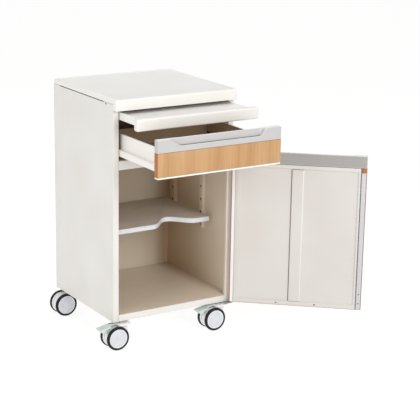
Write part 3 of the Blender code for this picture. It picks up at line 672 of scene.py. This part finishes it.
def addBackPanel():
    low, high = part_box("back_panel")
    bm = boxMesh(low, high)
    roundOff(bm, sharpEdges(bm), sheet["edge"], 2)
    addPiece("back_skin", bm, [bodyPaint], "cabinet", ["back_panel"])
    profile = scaled(backPanel["dome"], backPanel["rivet"], backPanel["rivetProud"])
    edge = backPanel["inset"]
    count = 0
    for i in range(backPanel["rows"]):
        z = low.z + edge + (high.z - low.z - 2 * edge) * i / (backPanel["rows"] - 1)  # even rows
        for x in (low.x + edge, high.x - edge):
            count += 1
            addPiece(f"back_rivet_{count}", turnedMesh(profile, (x, high.y, z), 16), [bodyPaint],
                     "cabinet")


rails = {"baseTurn": 0.050, "dividerTurn": 0.012, "fit": 0.0003}


def trimRail(bm):
    # clear of the side panels' folded front edges
    edge = opening - rails["fit"]
    back = bodyFront + sidePanel["turnIn"] + rails["fit"]
    for side in (-1, 1):
        cutAcross(bm, (side * edge, 0, 0), (1, 0, 0))
    cutAcross(bm, (0, back, 0), (0, 1, 0))
    dropFaces(bm, lambda c: abs(c.x) > edge and c.y < back)


def addRails():
    front, back = bodyFront, baseHigh.y
    low, high, turnIn = baseLow.z, baseHigh.z, rails["baseTurn"]
    path = [(back - turnIn, low), (back, low), (back, high), (front, high), (front, low),
            (front + turnIn, low)]
    bm = bentSheet(path, "YZ", baseLow.x, baseHigh.x)
    trimRail(bm)
    addPiece("cupboard_floor", bm, [bodyPaint], "cabinet", ["base_panel"],
             wall=sheet["thick"], soften=sheet["edge"])
    low, high, turnIn = dividerLow.z, dividerHigh.z, rails["dividerTurn"]
    path = [(back, high - turnIn), (back, high), (front, high), (front, low),
            (front + turnIn, low)]
    bm = bentSheet(path, "YZ", dividerLow.x, dividerHigh.x)
    trimRail(bm)
    addPiece("drawer_deck", bm, [bodyPaint], "cabinet", ["divider_panel"],
             wall=sheet["thick"], soften=sheet["edge"])


addSidePanels()
addBackPanel()
addRails()
print("steel body made")


topCover = {"sideSkirt": 0.0160, "corner": 0.0050, "rim": 0.0092, "recess": 0.0025,
            "slope": 0.003, "rimRound": 0.0016, "wall": 0.0035, "frontWall": 0.0216,
            "edge": 0.0005}


def addTop():
    skirt = topHigh.z - topCover["sideSkirt"]
    bm = boxMesh((topLow.x, topLow.y, skirt), topHigh)
    under = faceTowards(bm, (0, 0, -1))
    split = topLow.y + topCover["frontWall"]
    part = [under] + under.edges[:] + under.verts[:]
    bmesh.ops.bisect_plane(bm, geom=part, plane_co=(0, split, 0), plane_no=(0, 1, 0),
                           dist=0.000001)
    bm.normal_update()
    front = min((f for f in bm.faces if f.normal.z < -0.9), key=lambda f: f.calc_center_median().y)
    drawOut(bm, front, (0, 0, topLow.z - skirt))
    bm.normal_update()
    gone = [f for f in bm.faces if f.normal.z < -0.9 or
            (f.normal.y > 0.9 and f.calc_center_median().y < 0)]
    bmesh.ops.delete(bm, geom=gone, context="FACES")
    roundOff(bm, sharpEdges(bm), topCover["corner"], 5)
    bm.normal_update()
    deck = faceTowards(bm, (0, 0, 1))
    bmesh.ops.inset_region(bm, faces=[deck], thickness=topCover["rim"] - topCover["corner"],
                           use_even_offset=True)
    bmesh.ops.inset_region(bm, faces=[deck], thickness=topCover["slope"],
                           depth=-topCover["recess"], use_even_offset=True)
    bm.normal_update()
    level = topHigh.z - topCover["recess"]
    brim = [e for e in bm.edges if all(abs(v.co.z - topHigh.z) < 0.0001 for v in e.verts)
            and len(e.link_faces) == 2 and e.calc_face_angle(0) > 0.3]
    roundOff(bm, deck.edges[:] + brim, topCover["rimRound"], 3)

    def fieldFace(face):
        return 1 if face.normal.z > 0.98 and abs(face.center.z - level) < 0.0004 else 0

    addPiece("top_shell", bm, [whiteMoulding, topField], "cabinet", ["top_cover"],
             wall=-topCover["wall"], soften=topCover["edge"],
             paintFace=fieldFace)


addTop()
print("top made")


screw = {"proud": 0.3, "head": [(0, -0.4), (0.38, -0.4), (0.42, 1), (0.7, 0.85), (0.92, 0.45),
                                (1, 0), (1, -1), (0, -1)]}


def addScrew(name, place, facing, radius, body, turn=None):
    # low domed head with a round socket, facing along a direction
    bm = turnedMesh(scaled(screw["head"], radius, radius * screw["proud"]), (0, 0, 0), 20, "Z")
    aim = Vector(facing).to_track_quat("Z", "Y").to_matrix().to_4x4()
    where = Matrix.Translation(place) @ aim
    if turn:
        where = turn @ where
    # the whole head takes the dark tone that also paints shade in holes
    addPiece(name, bm, [darkScrewAndHoleShade], body, turn=where)


seamScrew = {"y": -0.1515, "drop": 0.0042, "radius": 0.0027, "proud": 0.0004, "washer": 0.0042,
             "ring": [(0, 0.0003), (0.8, 0.0005), (1, 0.0002), (1, -0.0004), (0, -0.0004)]}


def addSeamScrew(side, sign):
    place = Vector((sign * half, seamScrew["y"], panelHigh.z - seamScrew["drop"]))
    washer = turnedMesh(scaled(seamScrew["ring"], seamScrew["washer"], sign), place, 24, "X")
    addPiece(f"seam_washer_{side}", washer, [brightSteel], "cabinet")
    addScrew(f"seam_screw_{side}", place + Vector((sign * seamScrew["proud"], 0, 0)),
             (sign, 0, 0), seamScrew["radius"], "cabinet")


addSeamScrew("left", -1)
addSeamScrew("right", 1)


tray = {"wall": 0.0030, "slope": 0.0018, "floorDeep": 0.0045, "lipThick": 0.0201,
        "rimDrop": 0.004, "under": 0.0245, "sideGap": 0.0025, "corner": 0.006, "lipRound": 0.0055,
        "lipEnd": 0.007, "lipBack": 0.0015, "floorRound": 0.004, "panRound": 0.0010}


def addTray():
    low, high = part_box("tray")
    split = low.y + tray["lipThick"]
    bm = boxMesh((low.x, low.y, low.z), (high.x, split, high.z))
    ends = edgesAlong(bm, 2, lambda e: middle(e).y < split - 0.001)
    roundOff(bm, ends, tray["lipEnd"], 6)
    roundOff(bm, [e for e in sharpEdges(bm) if middle(e).y < split - 0.0005], tray["lipRound"], 5)
    roundOff(bm, sharpEdges(bm), tray["lipBack"], 2)
    addPiece("tray_lip", bm, [whiteMoulding], "tray", ["tray"], smooth=40)

    side = opening - tray["sideGap"]
    top = high.z - tray["rimDrop"]
    bm = boxMesh((-side, split - 0.002, top - tray["under"]), (side, high.y, top))
    roundOff(bm, edgesAlong(bm, 2, lambda e: middle(e).y > split), tray["corner"], 5)
    bm.normal_update()
    deck = faceTowards(bm, (0, 0, 1))
    bmesh.ops.inset_region(bm, faces=[deck], thickness=tray["wall"], use_even_offset=True)
    bmesh.ops.inset_region(bm, faces=[deck], thickness=tray["slope"], depth=-tray["floorDeep"],
                           use_even_offset=True)
    bm.normal_update()
    roundOff(bm, deck.edges[:], tray["floorRound"], 4)
    bm.normal_update()
    roundOff(bm, sharpEdges(bm, 40), tray["panRound"], 3)
    addPiece("tray_pan", bm, [whiteMoulding], "tray", smooth=40)


addTray()
print("tray made")


# the finger pull in a handle cap
pull = {"left": -0.160, "leftRamp": 0.046, "right": 0.154, "ramp": 0.024, "lipDrop": 0.023,
        "lipThick": 0.0028, "groove": 0.0055, "grooveDeep": 0.0075, "backDrop": 0.0006,
        "lean": 0.0026, "edge": 0.0018, "brow": 0.003, "crease": 0.0012, "endRound": 0.0016,
        "creaseShadeBack": 0.0105, "creaseShadeFoot": 0.003, "steps": 12}


def capOutline(deep, tall, share):
    # outline in (back, up): a rounded bar at share 0, a hooked pull at share 1
    r, t = pull["edge"], pull["lipThick"]
    lipTop = tall - pull["lipDrop"]
    bowl = pull["groove"] / 2
    bottom = lipTop - pull["grooveDeep"]
    wallBack = t + pull["groove"]
    crest = tall - pull["backDrop"]
    lean = wallBack + pull["lean"]
    foot = arc((r, r), r, 270, 180, 4)
    heel = arc((deep - r, r), r, 360, 270, 4)
    hooked = foot + arc((t / 2, lipTop - t / 2), t / 2, 180, 0, 7)
    hooked += arc((t + bowl, bottom + bowl), bowl, 180, 360, 9)
    rise = (lipTop + pull["crease"] - bottom - bowl) / (crest - r - bottom - bowl)
    hooked += [(wallBack + pull["lean"] * rise, lipTop + pull["crease"])]
    hooked += arc((lean + r, crest - r), r, 180, 90, 4)
    hooked += arc((deep - r, crest - r), r, 90, 0, 4) + heel
    brow = pull["brow"]
    # the same number of points as the hooked outline, so that one can turn into the other
    plain = foot + arc((brow, tall - brow), brow, 180, 90, 7)
    plain += [(brow + (wallBack - brow) * (i + 1) / 10, tall) for i in range(9)]
    plain += [(wallBack + 0.0002, tall)]
    plain += [(wallBack + 0.0004 + 0.0008 * i, tall) for i in range(4)]
    plain += arc((deep - r, tall - r), r, 90, 0, 4) + heel
    return [(a + (c - a) * share, b + (d - b) * share) for (a, b), (c, d) in zip(plain, hooked)]


def addCap(name, body, node, halfLong, front, back, low, high, turn=None):
    left, right, ramp = pull["left"], pull["right"], pull["ramp"]
    steps = [i / pull["steps"] for i in range(pull["steps"] + 1)]
    rising = [(left + pull["leftRamp"] * (a - 0.5), a * a * (3 - 2 * a)) for a in steps]
    falling = [(right + ramp * (0.5 - a), a * a * (3 - 2 * a)) for a in reversed(steps)]
    stations = [(-halfLong, 0.0)] + rising + falling + [(halfLong, 0.0)]
    sections = []
    for x, share in stations:
        outline = capOutline(back - front, high - low, share)
        sections.append([(x, front + y, low + z) for y, z in outline])
    bm = loft(sections)
    bm.normal_update()
    ends = [e for e in sharpEdges(bm, 60) if abs(abs(middle(e).x) - halfLong) < 0.0001]
    roundOff(bm, ends, pull["endRound"], 3)
    aim = turn.to_3x3() @ Vector((0, 1, 0)) if turn else Vector((0, 1, 0))
    home = turn.inverted() if turn else Matrix()
    lipTop = high - pull["lipDrop"]

    def capFace(face):
        spot = home @ Vector(face.center)
        # slot 1 paints the faces that look back in painted shade
        if Vector(face.normal).dot(aim) > 0.99:
            return 1
        # slot 2 is a painted highlight on the top faces and on the lip's top
        if spot.z > high - 0.004:
            return 2 if face.normal.z > 0.8 else 0
        if abs(spot.z - lipTop) < 0.0016 and spot.y < front + 0.003:
            return 2 if face.normal.z > 0.35 else 0
        # slot 3 is painted shade on the groove's faces behind the lip
        groove = front + pull["lipThick"] < spot.y < front + pull["creaseShadeBack"]
        within = left + ramp / 3 < spot.x < right - ramp / 3
        tall = low + pull["creaseShadeFoot"] < spot.z < lipTop + 0.001
        return 3 if groove and within and tall else 0

    addPiece(name, bm, [greyMoulding, greyBackShade, greyCrownHighlight, greyCreaseShade], body, [node],
             turn=turn, smooth=32, paintFace=capFace)


boardEdge = 0.0007
drawer = {"lip": 0.005, "step": 0.010, "stepUp": 0.0219, "lipBend": 0.0022, "footRound": 0.0022}


def woodFaces(front, backToo=False):
    # laminate on the front, edge band round the sides; front is the facing direction
    aim = Vector(front)

    def chosen(face):
        lean = Vector(face.normal).dot(aim)
        return 0 if lean > 0.7 or (backToo and lean < -0.7) else 1

    return chosen


def addDrawer():
    low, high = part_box("drawer_front")
    bm = boxMesh(low, high)
    roundOff(bm, sharpEdges(bm), boardEdge, 2)
    addPiece("drawer_board", bm, [woodFace, woodEdge], "drawer", ["drawer_front"],
             paintFace=woodFaces((0, -1, 0), True))
    low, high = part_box("drawer_edge_strip")
    bm = boxMesh(low, high)
    lower = [e for e in sharpEdges(bm) if middle(e).z < high.z - 0.0005]
    roundOff(bm, lower, drawer["footRound"], 4)
    addPiece("drawer_foot_strip", bm, [whiteMoulding], "drawer", ["drawer_edge_strip"])
    low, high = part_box("drawer_handle")
    addCap("drawer_cap", "drawer", "drawer_handle", high.x, low.y, high.y, low.z, high.z)

    low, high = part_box("drawer_side_left")
    outer = -low.x
    inner = outer - drawer["step"]
    step = low.z + drawer["stepUp"]
    path = [(-inner + drawer["lip"], high.z), (-inner, high.z), (-inner, step), (-outer, step),
            (-outer, low.z), (-inner, low.z)]
    for side, run in (("left", path), ("right", mirrored(path))):
        bm = bentSheet(run, "XZ", low.y, high.y, drawer["lipBend"])
        inward = 1 if side == "left" else -1
        # slot 1 paints the faces that look into the drawer in painted shade
        addPiece(f"drawer_wall_{side}", bm, [drawerPaint, drawerInsideShade], "drawer",
                 [f"drawer_side_{side}"], wall=sheet["thick"], soften=sheet["edge"],
                 paintFace=lambda face: 1 if face.normal.x * inward > 0.5 else 0)


addDrawer()
print("drawer made")


# the door is modelled closed and turned to its rest angle
hinge = joints["door_hinge"]
hingeAt = Vector((hinge["pos_m"][0], hinge["pos_m"][1], 0))
doorAngle = -math.radians(hinge["range_deg"][0])
doorTurn = (Matrix.Translation(hingeAt) @ Matrix.Rotation(doorAngle, 4, "Z")
            @ Matrix.Translation(-hingeAt))
doorFacing = doorTurn.to_3x3() @ Vector((0, -1, 0))
door = {"inset": 0.0015, "board": 0.012, "thick": 0.0201, "fit": 0.0003, "panFree": 0.0195,
        "panHinge": 0.0095, "panTopGap": 0.001, "panFoot": 0.004, "rim": 0.012, "freeRim": 0.006,
        "slope": 0.0035, "recess": 0.005, "panRound": 0.0013, "ribFromHinge": 0.195,
        "ribWide": 0.043, "ribRise": 0.0042, "ribSlope": 0.0032, "ribBend": 0.0014,
        "ribWall": 0.0008, "ribEdge": 0.0002, "stripWide": 0.0145, "stripGap": 0.0022,
        "stripTop": 0.0165, "stripProud": 0.0005, "stripRound": 0.0011, "hingeGap": 0.0006,
        "hingeWide": 0.0108, "hingeRound": 0.0009, "gapShadeDrop": 0.0022, "gapShadeFit": 0.0002,
        "gapShadeRound": 0.0004, "screwsAt": (0.152, 0.120), "stripScrew": 0.0021,
        "padsAt": (0.157, 0.287), "padUp": 0.0071, "padProud": 0.0003, "linerScrew": 0.0026,
        "pad": [(0, 0.0003), (0.0058, 0.0003), (0.0066, 0), (0.0066, -0.0004), (0, -0.0004)]}
doorOuter = topLow.y
doorInner = doorOuter + door["thick"]
doorHalf = half - door["inset"]
doorLow, doorHigh = (end.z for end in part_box("door_front"))
panLeft, panRight = -doorHalf + door["panFree"], hingeAt.x - door["panHinge"]
panLow, panHigh = doorLow + door["panFoot"], doorHigh - door["panTopGap"]
panFace = doorOuter + door["board"] + door["fit"]


def addDoor():
    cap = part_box("door_handle")
    bm = boxMesh((-doorHalf, doorOuter, doorLow), (doorHalf, doorOuter + door["board"], doorHigh))
    roundOff(bm, sharpEdges(bm), boardEdge, 2)
    addPiece("door_board", bm, [woodFace, woodEdge], "door", ["door_front"],
             turn=doorTurn, paintFace=woodFaces(doorFacing))
    addCap("door_cap", "door", "door_handle", doorHalf, doorOuter, doorInner,
           cap[0].z, cap[1].z, doorTurn)


def addLiner():
    bm = boxMesh((panLeft, panFace, panLow), (panRight, doorInner, panHigh))
    bm.normal_update()
    inner = faceTowards(bm, (0, 1, 0))
    bmesh.ops.inset_region(bm, faces=[inner], thickness=door["rim"], use_even_offset=True)
    narrow = [v for v in inner.verts if v.co.x < panLeft + 2 * door["rim"]]
    bmesh.ops.translate(bm, vec=(door["freeRim"] - door["rim"], 0, 0), verts=narrow)
    bmesh.ops.inset_region(bm, faces=[inner], thickness=door["slope"], depth=-door["recess"],
                           use_even_offset=True)
    bm.normal_update()
    roundOff(bm, sharpEdges(bm, 25), door["panRound"], 3)
    addPiece("door_liner", bm, [doorPaint], "door", ["door_pan"], turn=doorTurn)

    ribRight = hingeAt.x - door["ribFromHinge"]
    ribLeft = ribRight - door["ribWide"]
    near = doorInner - door["recess"] + door["fit"]
    far = near + door["ribRise"]
    slope = door["ribSlope"]
    path = [(ribRight, near), (ribRight - slope, far), (ribLeft + slope, far),
            (ribLeft, near)]
    gap = door["rim"] + door["slope"]
    bm = bentSheet(path, "XY", panLow + gap, panHigh - gap, door["ribBend"])
    along = doorTurn.to_3x3() @ Vector((1, 0, 0))

    # slot 1 is painted shade on the rib's flank towards the hinge
    def ribFace(flat):
        lean = Vector(flat.normal).dot(along)
        return 1 if lean > 0.45 else 2 if lean < -0.25 else 0

    # slot 2 is a painted highlight on the rib's flank away from the hinge
    addPiece("door_rib", bm, [doorPaint, gapShadePaint, flankHighlightPaint], "door", ["door_stiffener"],
             turn=doorTurn, wall=door["ribWall"], soften=door["ribEdge"],
             paintFace=ribFace)


def addDoorStrips():
    start = -doorHalf + door["stripGap"]
    bm = boxMesh((start, panFace, panLow), (start + door["stripWide"],
                 doorInner + door["stripProud"], doorHigh - door["stripTop"]))
    roundOff(bm, sharpEdges(bm), door["stripRound"], 3)
    addPiece("door_closing_strip", bm, [stripMoulding], "door", ["door_edge_strip"],
             turn=doorTurn)
    bm = boxMesh((panRight + door["hingeGap"], panFace, panLow),
                 (panRight + door["hingeWide"], doorInner, panHigh))
    roundOff(bm, sharpEdges(bm), door["hingeRound"], 3)
    addPiece("door_hinge_strip", bm, [whiteMoulding], "door", turn=doorTurn)
    # a dark strip sunk in the gap beside the closing strip: painted shade standing for the gap's
    # depth
    gap = door["gapShadeFit"]
    bm = boxMesh((start + door["stripWide"] + gap, panFace, panLow),
                 (panLeft - gap, doorInner - door["gapShadeDrop"], panHigh))
    roundOff(bm, sharpEdges(bm), door["gapShadeRound"], 2)
    addPiece("door_gap_shade", bm, [gapShadePaint], "door", turn=doorTurn)
    mid = start + door["stripWide"] / 2
    for i, z in enumerate(door["screwsAt"]):
        addScrew(f"strip_screw_{i + 1}", (mid, doorInner + door["stripProud"], z), (0, 1, 0),
                 door["stripScrew"], "door", doorTurn)
    for i, reach in enumerate(door["padsAt"]):
        place = (hingeAt.x - reach, doorInner, panLow + door["padUp"])
        addPiece(f"liner_pad_{i + 1}", turnedMesh(door["pad"], place, 28), [doorPaint], "door",
                 turn=doorTurn)
        addScrew(f"liner_screw_{i + 1}", (place[0], doorInner + door["padProud"], place[2]),
                 (0, 1, 0), door["linerScrew"], "door", doorTurn)


addDoor()
addLiner()
addDoorStrips()
print("door made")


shelf = {"bayAt": 0.072, "bayHalf": 0.085, "bayDeep": 0.062, "steps": 28, "edge": 0.0005,
         "lipping": 0.002, "lippingEdge": 0.0009, "fit": 0.0006}


def shelfFront(frontY, reach):
    # front edge from left to right, with one smooth bay
    points = [(-reach, frontY)]
    for i in range(shelf["steps"] + 1):
        away = 2 * i / shelf["steps"] - 1
        deep = shelf["bayDeep"] * (1 + math.cos(math.pi * away)) / 2
        points.append((shelf["bayAt"] + shelf["bayHalf"] * away, frontY + deep))
    return points + [(reach, frontY)]


def addShelf():
    low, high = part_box("shelf_board")
    front = shelfFront(low.y, high.x)
    bm = bmesh.new()
    outline = [bm.verts.new((x, y, low.z)) for x, y in front + [(high.x, high.y), (low.x, high.y)]]
    drawOut(bm, bm.faces.new(outline), (0, 0, high.z - low.z))
    bmesh.ops.recalc_face_normals(bm, faces=bm.faces)
    roundOff(bm, sharpEdges(bm), shelf["edge"], 2)
    addPiece("shelf_panel", bm, [shelfFace], "cabinet", ["shelf_board"])

    path = [(x, y - shelf["fit"]) for x, y in reversed(front)]
    bm = bentSheet(path, "XY", low.z, high.z, 0)
    addPiece("shelf_edge_band", bm, [bandMoulding], "cabinet", ["shelf_lipping"],
             wall=shelf["lipping"], soften=shelf["lippingEdge"])


upright = {"deep": 0.014, "bend": 0.0016,
           "holes": (0.3233, 0.3683, 0.4138, 0.4593, 0.5048, 0.5503),
           "cup": [(0, 0.0002), (0.0032, 0.0002), (0.00336, 0.0005), (0.0046, 0.0003),
                   (0.0046, -0.0004), (0, -0.0004)]}


def addUpright(corner):
    low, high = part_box(f"shelf_upright_{corner}")
    sign = -1 if corner.endswith("left") else 1
    inner = high.x if sign < 0 else low.x
    foot = inner + sign * upright["deep"]
    path = [(foot, low.y), (inner, low.y), (inner, high.y), (foot, high.y)]
    if sign > 0:
        path.reverse()
    bm = bentSheet(path, "XY", low.z, high.z, upright["bend"])
    addPiece(f"upright_{corner}", bm, [bodyPaint], "cabinet", [f"shelf_upright_{corner}"],
             wall=sheet["thick"], soften=sheet["edge"])
    cup = scaled(upright["cup"], 1, -sign)
    for i, z in enumerate(upright["holes"]):
        bm = turnedMesh(cup, (inner, (low.y + high.y) / 2, z), 20, "X")
        # the cup's flat faces are painted shade for the dark hole
        addPiece(f"upright_{corner}_hole_{i + 1}", bm, [darkScrewAndHoleShade, bodyPaint], "cabinet",
                 paintFace=lambda flat: 0 if abs(flat.normal.x) > 0.9 else 1)


addShelf()
for corner in corners:
    addUpright(corner)
print("shelf and its uprights made")


wheel = {"radius": 0.040, "wide": 0.0205, "band": 0.0078, "shoulder": 0.0036, "tyreFrom": 0.0092,
         "drum": 0.0362, "bore": 0.0046, "boreDeep": 0.012}


def addWheel(name, side):
    # side is -1 for the wheel towards -Y
    low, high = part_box(name)
    centre = Vector(((low.x + high.x) / 2, 0, (low.z + high.z) / 2))
    inner = high.y if side < 0 else low.y
    radius, wide, shoulder = wheel["radius"], wheel["wide"], wheel["shoulder"]

    def place(points):
        return [(r, inner + side * h) for r, h in points]

    rim, start, drum = radius - wheel["band"], wheel["tyreFrom"], wheel["drum"]
    tyre = [(rim, start)]
    tyre += arc((radius - shoulder, start + shoulder), shoulder, -90, 0, 7)
    tyre += arc((radius - shoulder, wide - shoulder), shoulder, 0, 90, 7)
    tyre += [(rim + 0.0014, wide - 0.0003), (rim + 0.0003, wide - 0.0009), (rim, wide - 0.0016)]
    addPiece(f"{name}_tyre", turnedMesh(place(tyre), centre, 72, closed=True), [tyreRubber], name,
             [name], smooth=50)

    # the hub's outline from the bore out over the drum, round the rim and back to the middle
    hub = [(wheel["bore"], 0.0006), (rim * 0.55, 0.0006), (rim * 0.6, 0.0014),
           (drum - 0.003, 0.0014), (drum - 0.0016, 0.0004), (drum - 0.0003, 0.0008),
           (drum, 0.0016), (drum, start - 0.0003), (rim - 0.0002, start - 0.0003),
           (rim - 0.0002, wide - 0.0012), (rim - 0.0009, wide - 0.0004),
           (rim - 0.0024, wide - 0.0004), (rim - 0.0032, wide - 0.0016), (0, wide - 0.0016),
           (0, wheel["boreDeep"]), (wheel["bore"], wheel["boreDeep"])]
    addPiece(f"{name}_hub", turnedMesh(place(hub), centre, 64), [casterShell], name,
             smooth=40)

    disc = [(0, wide - 0.0017), (rim - 0.0036, wide - 0.0017), (rim - 0.0036, wide - 0.0012),
            (rim - 0.0046, wide - 0.0008), (rim * 0.5, wide - 0.0003), (0, wide - 0.0001)]
    addPiece(f"{name}_disc", turnedMesh(place(disc), centre, 64), [discShell], name,
             smooth=40)


hood = {"wide": 0.050, "long": 0.046, "thick": 0.005, "corner": 0.009, "brow": 0.0022,
        "webHalf": 0.0062, "webRadius": 0.0355, "webRound": 0.0015, "neckHalf": 0.0184,
        "neckRound": 0.003, "neckIn": 0.0002}


def addHousing(corner):
    low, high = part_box(f"{corner}_housing")
    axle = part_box(f"{corner}_axle")
    axleAt = (axle[0] + axle[1]) / 2
    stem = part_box(f"{corner}_stem")
    x, y = (stem[0].x + stem[1].x) / 2, (stem[0].y + stem[1].y) / 2
    bottom = high.z - hood["thick"]
    reach, wide = hood["long"] / 2, hood["wide"] / 2
    bm = boxMesh((x - reach, y - wide, bottom), (x + reach, y + wide, high.z))
    roundOff(bm, edgesAlong(bm, 2), hood["corner"], 6)
    upper = [e for e in sharpEdges(bm) if middle(e).z > high.z - 0.0005]
    roundOff(bm, upper, hood["brow"], 4)
    addPiece(f"{corner}_hood", bm, [casterShell], f"{corner}_caster", [f"{corner}_housing"])

    w, r, cut = hood["webHalf"], hood["webRadius"], hood["webRound"]
    disc = [(0, -w), (r - cut, -w), (r, -w + cut), (r, w - cut), (r - cut, w), (0, w)]
    bm = turnedMesh(disc, axleAt, 56)
    addPiece(f"{corner}_web", bm, [casterShell], f"{corner}_caster")
    neck, across = hood["neckHalf"], w - hood["neckIn"]
    bm = boxMesh((x - neck, y - across, axleAt.z), (x + neck, y + across, bottom + 0.001))
    roundOff(bm, edgesAlong(bm, 2), hood["neckRound"], 4)
    addPiece(f"{corner}_neck", bm, [casterShell], f"{corner}_caster")


# outlines in x and z from the brake's pivot
pedal = {"wide": 0.034, "arm": 0.012, "round": 0.0016, "armRound": 0.001,
         "ribs": 4, "ribProud": 0.0009, "ribFrom": (-0.0435, -0.0062), "ribStep": 0.0042,
         "ribFall": 0.18, "ribLong": 0.0020, "ribSunk": 0.002, "ribEdge": 0.0005,
         "ribShort": 0.008,
         "pad": [(-0.022, -0.0012), (-0.0405, -0.0055), (-0.0600, -0.0090), (-0.0625, -0.0108),
                 (-0.0615, -0.0135), (-0.0540, -0.0205), (-0.0420, -0.0225), (-0.0398, -0.0125),
                 (-0.022, -0.0065)],
         "lever": [(0.0055, 0.0030), (-0.024, 0.0), (-0.024, -0.0050), (0.0055, -0.0030)]}


def extrudedProfile(points, pivot, wide):
    # an upright outline in x and z, drawn out evenly to both sides of the pivot
    bm = bmesh.new()
    verts = [bm.verts.new((pivot.x + x, pivot.y - wide / 2, pivot.z + z)) for x, z in points]
    drawOut(bm, bm.faces.new(verts), (0, wide, 0))
    bmesh.ops.recalc_face_normals(bm, faces=bm.faces)
    return bm


def addPedal(side):
    name = f"front_{side}_pedal"
    pivot = Vector(joints[f"front_{side}_brake"]["pos_m"])
    bm = extrudedProfile(pedal["pad"], pivot, pedal["wide"])
    roundOff(bm, sharpEdges(bm, 25), pedal["round"], 3)
    addPiece(f"{name}_pad", bm, [pedalShell], name, [name])
    bm = extrudedProfile(pedal["lever"], pivot, pedal["arm"])
    roundOff(bm, sharpEdges(bm), pedal["armRound"], 3)
    addPiece(f"{name}_lever", bm, [pedalShell], name)
    for i in range(pedal["ribs"]):
        away = pedal["ribStep"] * i
        x, z = pedal["ribFrom"][0] - away, pedal["ribFrom"][1] - away * pedal["ribFall"]
        end, proud, sunk = x - pedal["ribLong"], z + pedal["ribProud"], z - pedal["ribSunk"]
        rib = [(x, proud), (end, proud - 0.0004), (end, sunk), (x, sunk)]
        bm = extrudedProfile(rib, pivot, pedal["wide"] - pedal["ribShort"])
        roundOff(bm, sharpEdges(bm), pedal["ribEdge"], 2)
        addPiece(f"{name}_rib_{i + 1}", bm, [pedalShell], name)


for side in ("left", "right"):
    addPedal(side)
for corner in corners:
    addHousing(corner)
    addWheel(f"{corner}_wheel_a", -1)
    addWheel(f"{corner}_wheel_b", 1)
print("casters made")


# the frame's own pieces that stay in view
carried = {"top_frame": bodyPaint, "tray_runner_left": bodyPaint, "tray_runner_right": bodyPaint,
           "drawer_slide_left": brightSteel, "drawer_slide_right": brightSteel,
           # the drawer's bottom and back take the drawer's painted interior shade
           "drawer_bottom": drawerInsideShade, "drawer_back": drawerInsideShade,
           "hinge_bracket_upper": brightSteel, "hinge_bracket_lower": brightSteel,
           "hinge_pin_upper": brightSteel, "hinge_pin_lower": brightSteel}
for corner in corners:
    carried[f"shelf_clip_{corner}"] = brightSteel
    carried[f"{corner}_stem"] = brightSteel
    carried[f"{corner}_axle"] = brightSteel
for name, look in carried.items():
    nodes[name].data.materials.clear()
    nodes[name].data.materials.append(look)
bare = [name for name, node in nodes.items() if not node.hide_render and name not in carried]
print("carried pieces finished:", len(carried), "left bare:", bare)
